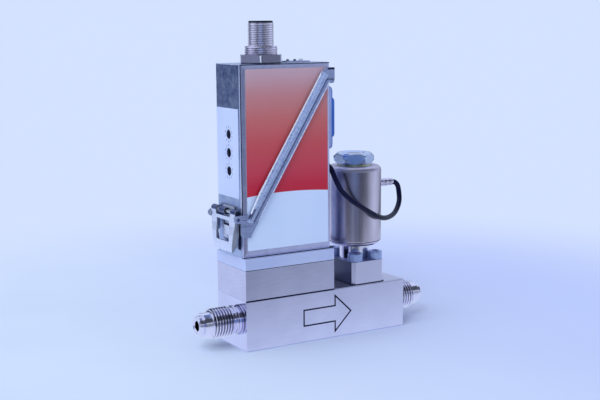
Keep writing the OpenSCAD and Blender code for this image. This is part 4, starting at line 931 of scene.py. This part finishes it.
for name, look, low, high, outline in (
    ("strap_bands", "strap_bright", 2.2, 79.2,
     [(EDGE - 0.02, 0), (EDGE - 0.05, 0.14), (EDGE - 0.22, BAND_T), (EDGE - 0.85, BAND_T),
      (EDGE - 1.1, BAND_T - 0.12), (EDGE - 1.9, BAND_T - 0.12), (EDGE - 2.2, BAND_T - 0.02),
      (EDGE - 2.75, BAND_T - 0.02), (EDGE - 2.9, 0.1), (EDGE - 2.92, 0)]),
    # Painted shade on the strap's feet and in the grooves beside the bands
    ("strap_feet", "strap_dark", 3.2, 9.5,
     [(EDGE - 0.02, BAND_T + 0.02), (EDGE - 1.4, BAND_T + 0.02)]),
    ("strap_grooves", "strap_dark", 3.6, 77.5, [(EDGE - 2.93, 0.03), (EDGE - 3.75, 0.03)]),
    # Painted shadow along the band's left edge near the foot, then painted highlights along that
    # edge
    ("strap_edge_shadows", "dark_line", 3, 24,
     [(EDGE - 0.02, BAND_T + 0.02), (EDGE - 0.26, BAND_T + 0.03)]),
    ("strap_glints", "edge_glint", 10.5, 24,
     [(EDGE - 0.26, BAND_T + 0.03), (EDGE - 0.6, BAND_T + 0.03)]),
    ("strap_shines", "edge_glint", 23, 78,
     [(EDGE + 0.04, BAND_T + 0.03), (EDGE - 0.36, BAND_T + 0.04)]),
    # Painted highlight on the rims
    ("strap_rims", "rim", 5.5, 77.0,
     [(0.62 - EDGE, 0), (0.56 - EDGE, 0.16), (0.38 - EDGE, BAND_T - 0.03),
      (0.16 - EDGE, BAND_T - 0.06), (0.03 - EDGE, 0.1), (0.02 - EDGE, 0)])):
    bail_piece(name, both_sides(strip_mesh, outline, low, high), look)


CREASE_Z = 57.9
TAB_X = (0.2, 4.3)
SHOULDER_Z = (119.9, 121.75)


def crease(side):
    """Ridge that crosses the bail's foot below the strap."""
    section = [(-0.32, -0.1), (-0.28, 0.1), (-0.1, 0.24), (0.12, 0.24), (0.3, 0.1), (0.34, -0.1)]
    return loft([[(x, side * (STRAP_FACE + lift * share), CREASE_Z + rise + (x + 45) * 0.16)
                  for rise, lift in section]
                 for x, share in ((-44.9, 0.5), (-44.6, 1), (-40.2, 1), (-39.6, 0.3))])


def shoulder(side):
    """Step below the bail's hook, where the strap is folded over."""
    x0, x1 = TAB_X
    z0, z1 = SHOULDER_Z
    outline = [(x0 - 1.2, z1), (x0 - 0.4, z0 + 0.9), (x0 + 0.6, z0 + 0.2), (x0 + 1.4, z0),
               (x1 - 0.9, z0), (x1 - 0.3, z0 + 0.3), (x1, z0 + 0.9), (x1, z1)]
    return loft([[(x, side * y, z) for x, z in outline]
                 for y in (STRAP_FACE - 1.15, STRAP_FACE - 0.2, STRAP_FACE - 0.06)])


def face_lines(side, *lines):
    """Thin bars (x0, x1, z0, z1), just proud of the bail's outer face."""
    y0, y1 = sorted((side * (STRAP_FACE - 0.3), side * (STRAP_FACE + 0.02)))
    return joined([bar(x0, x1, y0, y1, z0, z1, 0.01) for x0, x1, z0, z1 in lines])


bail_piece("bail_creases", both_sides(crease), "strap")
# Painted shade: dark lines across the bail's foot
bail_piece("bail_foot_shade_lines", both_sides(face_lines, (-45.2, -40.4, 60.4, 60.4 + 0.3),
                                         (-44.9, -39.5, 57.5, 57.5 + 0.3)), "strap_dark", 30)
bail_piece("bail_shoulders", both_sides(shoulder), "strap")
# Painted shade: dark lines along the top of the hook and under its fold
bail_piece("bail_tab_shade_lines", both_sides(
    face_lines, (TAB_X[0] + 0.5, TAB_X[1] + 0.05, bail_high.z - 0.95, bail_high.z - 0.12),
    (TAB_X[0] + 0.1, TAB_X[1] + 0.05, SHOULDER_Z[1] - 0.2, SHOULDER_Z[1] + 0.12)),
    "dark_line", 30)


# Latch: rolled knuckles in painted shade, rivets and the bracket's hook in painted highlight,
# painted shade in the bracket's openings

PIN_X = (pin_low.x + pin_high.x) / 2
PIN_Z = (pin_low.z + pin_high.z) / 2
KNUCKLE_R = 1.63
BRACKET_KNUCKLE = (-1.2, 4.6)
LEVER_KNUCKLES = ((-11.85, -6.95), (6.95, 11.85))
PLATE_FACE = -44.3
HOOK = [(-45.4, 50.6), (-45.75, 50.7), (-46.0, 51.1), (-46.1, 51.9), (-45.85, 52.0),
        (-45.7, 51.5), (-45.5, 51.3), (-45.35, 51.3)]
BRACKET_SHADE_GAPS = ((-2.6, 4.9, 55.4, 57.1), (3.6, 4.9, 57.1, 59.0), (0.8, 1.6, 53.4, 55.4))


def rolled_knuckle(low, high, seam):
    """Sheet rolled round the pin: a round skin with a seam along it."""
    rings = []
    for y, inset in ((low, 0.35), (low, 0.14), (low + 0.14, 0), (high - 0.14, 0),
                     (high, 0.14), (high, 0.35)):
        ring = []
        for k, angle in enumerate(steps_round(48)):
            r = KNUCKLE_R - inset - (0.22 if abs(k - seam) < 2 else 0)
            ring.append((PIN_X + r * math.cos(angle), y, PIN_Z + r * math.sin(angle)))
        rings.append(ring)
    return loft(rings)


def domed_head(y, z, radius, height):
    """Low round rivet head on the bracket's plate."""
    rings = []
    for share in (0, 0.25, 0.5, 0.75, 0.97):
        r = radius * math.cos(share * TURN / 4)
        rings.append([(PLATE_FACE - height * math.sin(share * TURN / 4), y + r * math.cos(a),
                       z + r * math.sin(a)) for a in steps_round(24)])
    return loft(rings)


piece("lever_knuckles", joined([rolled_knuckle(low, high, 30) for low, high in LEVER_KNUCKLES]),
      "knuckle", "lever")
piece("bracket_knuckle", rolled_knuckle(*BRACKET_KNUCKLE, 8), "knuckle")
# Painted shade: dark sheets stand in for the shaded openings round the bent-out tongue
piece("bracket_opening_shade", joined([
    bar(PLATE_FACE - 0.03, PLATE_FACE + 0.2, *gap, 0.01) for gap in BRACKET_SHADE_GAPS]),
    "dark_line")
# Painted highlight: the rivet heads and the hook take the bright rim zinc
piece("bracket_rivets", joined([domed_head(y, 59.2, 1.15, 0.5) for y in (-3.4, 3.4)]),
      "rim")
piece("bracket_hook", loft([[(x, y, z) for x, z in HOOK] for y in (-2.2, 2.2)]),
      "rim", sharp=40)


# Valve screws with knurled heads

HEAD_R = 3.5
HEAD_TEETH = 34
HEAD_SEGMENTS = 204
SHANK_R = 2
VALVE_X = (block_low.x + block_high.x) / 2


def valve_screw(x, y):
    """Knurled socket head: rings over the outside, then into the socket; and the shank."""
    low, high = block_high.z, screws_high.z

    def knurl(z, inset, depth):
        return level_ring(z, lambda angle: HEAD_R - inset - depth * (
            0.5 + 0.5 * math.cos(HEAD_TEETH * angle)), (x, y), HEAD_SEGMENTS)
    rings = [knurl(z, inset, depth) for z, inset, depth in (
        (low, 0.3, 0), (low + 0.15, 0.1, 0), (low + 0.3, 0, 0.16), (high - 0.75, 0, 0.16),
        (high - 0.55, 0.02, 0.05), (high - 0.35, 0.06, 0), (high - 0.12, 0.22, 0),
        (high, 0.5, 0), (high, 1.5, 0), (high - 0.25, 1.74, 0))]
    rings += hex_rings([(high - 0.4, 9), (high - 2, 9)], 1.5, (x, y), segments=HEAD_SEGMENTS)
    shank = [round_ring(z, r, (x, y), 24) for z, r in (
        (screws_low.z, SHANK_R - 0.3), (screws_low.z + 0.3, SHANK_R), (low, SHANK_R))]
    return joined([loft(rings), loft(shank)])


reach_x = (screws_high.x - screws_low.x) / 2 - HEAD_R
reach_y = (screws_high.y - screws_low.y) / 2 - HEAD_R
piece("valve_screws", joined([
    valve_screw(VALVE_X + side_x * reach_x, side_y * reach_y)
    for side_x in (-1, 1) for side_y in (-1, 1)]), "screw",
    stands_for=("valve_block_screws",))


# Coil nut with its chamfer, and painted shade on its front and back flats

def coil_nut_mesh():
    centre = (VALVE_X, 0)
    flat = (nut_high.x - nut_low.x) / 2
    corner = flat / math.cos(TURN / 12)
    low, high = nut_low.z, nut_high.z
    slope = 1.35 / (corner - flat)
    levels = [(low + (limit - flat + 0.1) * slope, limit)
              for limit in (flat - 0.1 + (corner - flat + 0.1) * k / 8 for k in range(9))]
    levels += [(high - (limit - flat + 0.35) * slope, limit)
               for limit in (corner - (corner - flat + 0.35) * k / 8 for k in range(9))]
    rings = hex_rings(levels, flat, centre, TURN / 12)
    rings += [round_ring(z, r, centre) for z, r in ((high, 5.6), (high - 0.5, 5.0), (low, 5.0))]
    return loft(rings, closed_along=True)


nut = piece("coil_nut_forged", coil_nut_mesh(), "nut", sharp=35,
            stands_for=("coil_nut",))
# Painted shade: flats that face front and back take the darker blue
second_look(nut, "nut_painted_shade",
            lambda face: abs(face.normal.z) < 0.2 and abs(face.normal.x) < 0.3)


# Coil can, drawn from sheet, and the gland with its weld bead

CAN_R = (can_high.x - can_low.x) / 2
CAN_TOP_R = 2.4
CAN_FOOT_R = 0.5
CAN_WALL = 0.9


def can_stations():
    """Cup with a round top edge and a hole for the guide tube."""
    low, high = can_low.z, can_high.z
    rows = [(low, CAN_R - CAN_WALL), (low, CAN_R - CAN_FOOT_R)]
    for k in range(1, 5):
        angle = TURN / 4 * k / 4
        rows.append((low + CAN_FOOT_R * (1 - math.cos(angle)),
                     CAN_R - CAN_FOOT_R * (1 - math.sin(angle))))
    rows += [(low + CAN_FOOT_R + 0.05, CAN_R), (high - CAN_TOP_R - 0.05, CAN_R)]
    for k in range(11):
        angle = TURN / 4 * k / 10
        rows.append((high - CAN_TOP_R * (1 - math.sin(angle)),
                     CAN_R - CAN_TOP_R * (1 - math.cos(angle))))
    return rows + [(high, 7.6), (high - CAN_WALL, 7.6), (high - CAN_WALL, CAN_R - CAN_TOP_R - 0.6),
                   (high - CAN_TOP_R - 0.3, CAN_R - CAN_WALL)]


can = piece("coil_can_drawn", turned(can_stations(), upright(VALVE_X), segments=128),
            "can", stands_for=("coil_can",))
second_look(can, "can_edge", lambda face: face.center.z / MM > can_high.z - CAN_TOP_R)
piece("can_foot_line", loft([round_ring(z, r, (VALVE_X, 0)) for z, r in (
    (can_low.z - 0.03, 11), (can_low.z - 0.03, CAN_R - 0.12), (can_low.z + 0.22, CAN_R - 0.02),
    (can_low.z + 0.22, 11))], closed_along=True), "dark_line")

GLAND_WALL = can_high.x
GLAND = [(GLAND_WALL + step, r) for step, r in (
    (-0.9, 2.0), (-0.15, 3.1), (0.15, 2.95), (0.5, 2.55), (1.0, 2.15), (1.8, 2.0), (3.2, 1.98),
    (3.5, 1.8), (4.0, 1.74), (4.4, 1.9), (5.6, 1.92), (6.0, 1.72), (6.5, 1.68), (6.9, 1.82),
    (8.3, 1.78))]
GLAND += [(GLAND_END.x - 0.25, 1.66), (GLAND_END.x, 1.5), (GLAND_END.x, 1.27),
          (GLAND_WALL - 0.9, 1.27)]
piece("gland_ferrule", turned(GLAND, along_x(GLAND_END.z), segments=48),
      "nickel", stands_for=("lead_gland",))


# Engraved arrow on the body's front

ARROW = [(-13.2, 15.1), (-13.2, 7.6), (3.95, 7.6), (3.95, 2.7), (12.8, 11.5), (3.95, 20.0),
         (3.95, 15.1)]
ARROW_LINE = 0.72


def arrow_mesh(y0, y1):
    """Closed band of even width that follows the arrow in the XZ plane."""
    points = [Vector(p) for p in ARROW]
    rings = []
    for i, at in enumerate(points):
        d1 = (at - points[i - 1]).normalized()
        d2 = (points[(i + 1) % len(points)] - at).normalized()
        n1, n2 = Vector((-d1.y, d1.x)), Vector((-d2.y, d2.x))
        mitre = (n1 + n2) / (1 + n1.dot(n2))
        a, b = at + mitre * ARROW_LINE / 2, at - mitre * ARROW_LINE / 2
        rings.append([(a.x, y0, a.y), (b.x, y0, b.y), (b.x, y1, b.y), (a.x, y1, a.y)])
    return loft(rings, closed_along=True)


piece("flow_arrow", arrow_mesh(body_low.y - 0.012, body_low.y - 0.012 + 0.03),
      "dark_line")


# Dials on the side sticker

DIAL_R = 3.3
DIAL_TEXT = 1.6


def flat_text(text, at_y, at_z, x):
    """Points and faces of a plain number on the left wall, read from outside."""
    curve = bpy.data.curves.new("dial_text", "FONT")
    curve.body = text
    curve.size = DIAL_TEXT
    curve.align_x = "CENTER"
    curve.align_y = "CENTER"
    curve.resolution_u = 3
    holder = bpy.data.objects.new("dial_text", curve)
    mesh = bpy.data.meshes.new_from_object(holder)
    verts = [(x, at_y - v.co.x, at_z + v.co.y) for v in mesh.vertices]
    faces = [tuple(p.vertices) for p in mesh.polygons]
    bpy.data.objects.remove(holder)
    bpy.data.meshes.remove(mesh)
    bpy.data.curves.remove(curve)
    return verts, faces


dial_parts = []
for low, high in [box_mm("switch_rotor_%d" % i) for i in (1, 2, 3)]:
    for number in range(10):
        angle = TURN * (0.25 - number / 10)
        dial_parts.append(flat_text(
            str(number), (low.y + high.y) / 2 - DIAL_R * math.cos(angle),
            (low.z + high.z) / 2 + DIAL_R * math.sin(angle), sticker_low.x - 0.01))
piece("dial_numbers", joined(dial_parts), "dial_ink")


# Floor, lamps and surroundings

BACKGROUND = (0.658, 0.761, 1.0)
LIGHT_TINT = (0.80, 0.88, 1.0)
FILL_LEVEL = 0.64
FLOOR_HALF = 6000
# What metal sees round about: level at an angle from the camera's own direction, where
# 0 is straight behind the object, 0.5 behind the camera, below 0.5 on its left
DIM = (0.11, 0.12, 0.19)
DARK = (0.03, 0.05, 0.10)
WINDOW = (0.30, 0.44, 0.66)
SOFT = (0.12, 0.15, 0.27)
NEAR_ROUND = [(0, 1.0), (0.26, 1.0), (0.36, 0.85), (0.42, 0.16), (0.47, 0.16), (0.485, 0.42),
              (0.5, 0.42), (0.515, 0.16), (0.585, 0.16), (0.64, 0.80), (1, 0.95)]
MIDDLE_ROUND = [(0, 0.95), (0.195, 0.95), (0.22, 0.16), (0.34, 0.13), (0.42, 0.14),
                (0.46, 0.20), (0.56, 0.18), (0.59, 0.09), (0.645, 0.10), (0.69, 0.42),
                (0.74, 1.0), (0.80, 0.85), (0.85, 0.55), (0.88, 0.5), (1, 0.45)]
UPPER_ROUND = [(0, 0.95), (0.10, 0.95), (0.20, 0.85), (0.22, 0.16), (0.34, 0.12), (0.43, 0.11),
               (0.455, SOFT), (0.56, SOFT), (0.59, 0.09), (0.655, 0.14), (0.69, 0.72),
               (0.76, 1.0), (0.80, 0.85), (0.85, 0.56), (0.88, 0.46), (1, 0.5)]
FAR_ROUND = [(0, 0.95), (0.10, 0.7), (0.145, DARK), (0.205, DARK), (0.24, 1.0), (0.285, 1.0),
             (0.33, 0.6), (0.375, 0.55), (0.40, DIM), (0.462, DIM), (0.478, WINDOW),
             (0.53, WINDOW), (0.552, DIM), (0.635, 0.15), (0.66, 0.42), (0.70, 0.60),
             (0.77, 0.9), (0.84, 0.95), (0.885, 0.4), (0.92, 0.36), (1, 0.95)]
# Each ring fades in over these distances on the floor, in metres
RINGS = ((0.12, 0.20, NEAR_ROUND), (0.275, 0.31, MIDDLE_ROUND), (0.43, 0.52, UPPER_ROUND),
         (0.62, 0.76, FAR_ROUND))
# Overhead, by the angle from the front horizon to the back one: a thin and a wide strip
OVERHEAD = [(0.10, 0.10), (0.117, 1.0), (0.142, 1.0), (0.16, 0.10), (0.40, 0.10), (0.43, 1.0),
            (0.80, 1.0), (0.86, 0.4), (1, 0.6)]


def angle_of(tree, x, y):
    """Angle of a direction round an axis, 0 towards the front."""
    return math_node(tree, "ARCTAN2", x, math_node(tree, "MULTIPLY", y, -1))


def round_about(tree, x, y):
    """Share of a turn round the upright axis, 0.5 in the camera's direction."""
    away = math_node(tree, "SUBTRACT", angle_of(tree, x, y), VIEW_AZIMUTH)
    return math_node(tree, "FRACT", math_node(tree, "MULTIPLY_ADD", away, 1 / TURN, 0.5))


def choose(tree, factor, first, second):
    return node(tree, "MixShader", (0, factor), (1, first), (2, second))


def ray(tree, kind):
    return node(tree, "LightPath", out="Is %s Ray" % kind)


def sharp_ray(tree):
    return math_node(tree, "MAXIMUM", ray(tree, "Glossy"), ray(tree, "Transmission"))


def backdrop(tree, level):
    """Background colour at a level."""
    return mix(tree, 1.0, BACKGROUND, level, "MULTIPLY")


def add_floor():
    """Pale sheet that ends in the background; metal sees light and dark rings on it."""
    mesh = bpy.data.meshes.new("floor")
    mesh.from_pydata([Vector((x * FLOOR_HALF, y * FLOOR_HALF, 0)) * MM
                      for x, y in ((-1, -1), (1, -1), (1, 1), (-1, 1))], [], [(0, 1, 2, 3)])
    floor = bpy.data.objects.new("floor", mesh)
    bpy.context.scene.collection.objects.link(floor)
    floor.location.z = -0.0004
    material, tree, shader = nodes_of("floor_sheet", ("Roughness", 0.9),
                                      ("Specular IOR Level", 0.1))
    x, y = coordinate(tree, "X"), coordinate(tree, "Y")
    tone = ramp(tree, noise(tree, 9, 3, seed=2),
                [(0.3, (0.72, 0.80, 0.97)), (0.7, (0.77, 0.85, 1.0))])
    # Painted shade: the floor's colour darkens towards +X, right of the object
    tone = mix(tree, step_between(tree, x, -0.12, 0.16), tone, (0.62, 0.68, 0.99))
    tree.links.new(tone, shader.inputs["Base Color"])

    reach = vector_math(tree, "LENGTH", row_coordinates(tree), out="Value")
    share = round_about(tree, x, y)
    level = ramp(tree, step_between(tree, y, -0.12, -0.02), [(0, 0.62), (1, 1.0)])
    for fade_low, fade_high, ring in RINGS:
        level = mix(tree, step_between(tree, reach, fade_low, fade_high), level,
                    ramp(tree, share, ring))
    seen = node(tree, "Emission", ("Color", backdrop(tree, level)), ("Strength", 1))
    plain = node(tree, "Emission", ("Color", BACKGROUND), ("Strength", 1))
    far = math_node(tree, "MULTIPLY", ray(tree, "Camera"), step_between(tree, reach, 0.16, 0.36))
    surface = choose(tree, sharp_ray(tree), shader.outputs[0], seen)
    tree.links.new(choose(tree, far, surface, plain), tree.nodes["Material Output"].inputs[0])
    mesh.materials.append(material)


def add_world():
    """Pale surroundings; metal sees light and dark stretches in them."""
    world = bpy.data.worlds.new("surroundings")
    bpy.context.scene.world = world
    world.use_nodes = True
    tree = world.node_tree
    tree.nodes.clear()
    output = tree.nodes.new("ShaderNodeOutputWorld")
    x, y, z = [coordinate(tree, axis, "Generated") for axis in "XYZ"]
    over = math_node(tree, "MULTIPLY", angle_of(tree, z, y), 2 / TURN)
    level = mix(tree, step_between(tree, z, 0.24, 0.30),
                ramp(tree, round_about(tree, x, y), FAR_ROUND), ramp(tree, over, OVERHEAD))
    light, seen, plain = [
        node(tree, "Background", ("Color", colour), ("Strength", strength))
        for colour, strength in ((LIGHT_TINT, FILL_LEVEL), (backdrop(tree, level), 1),
                                 (BACKGROUND, 1))]
    lit = choose(tree, sharp_ray(tree), light, seen)
    tree.links.new(choose(tree, ray(tree, "Camera"), lit, plain), output.inputs[0])


def add_sun(name, azimuth, elevation, strength, spread):
    data = bpy.data.lights.new(name, "SUN")
    data.energy = strength
    data.angle = math.radians(spread)
    data.color = LIGHT_TINT
    lamp = bpy.data.objects.new(name, data)
    lamp.visible_glossy = False
    lamp.rotation_mode = "QUATERNION"
    towards = direction(math.radians(azimuth), math.radians(elevation))
    lamp.rotation_quaternion = towards.to_track_quat("Z", "Y")
    bpy.context.scene.collection.objects.link(lamp)


add_floor()
add_world()
add_sun("broad_key", -72, 50, 1.25, 50)
add_sun("small_key", -48, 36, 0.38, 9)
bpy.context.scene.view_settings.view_transform = "Standard"
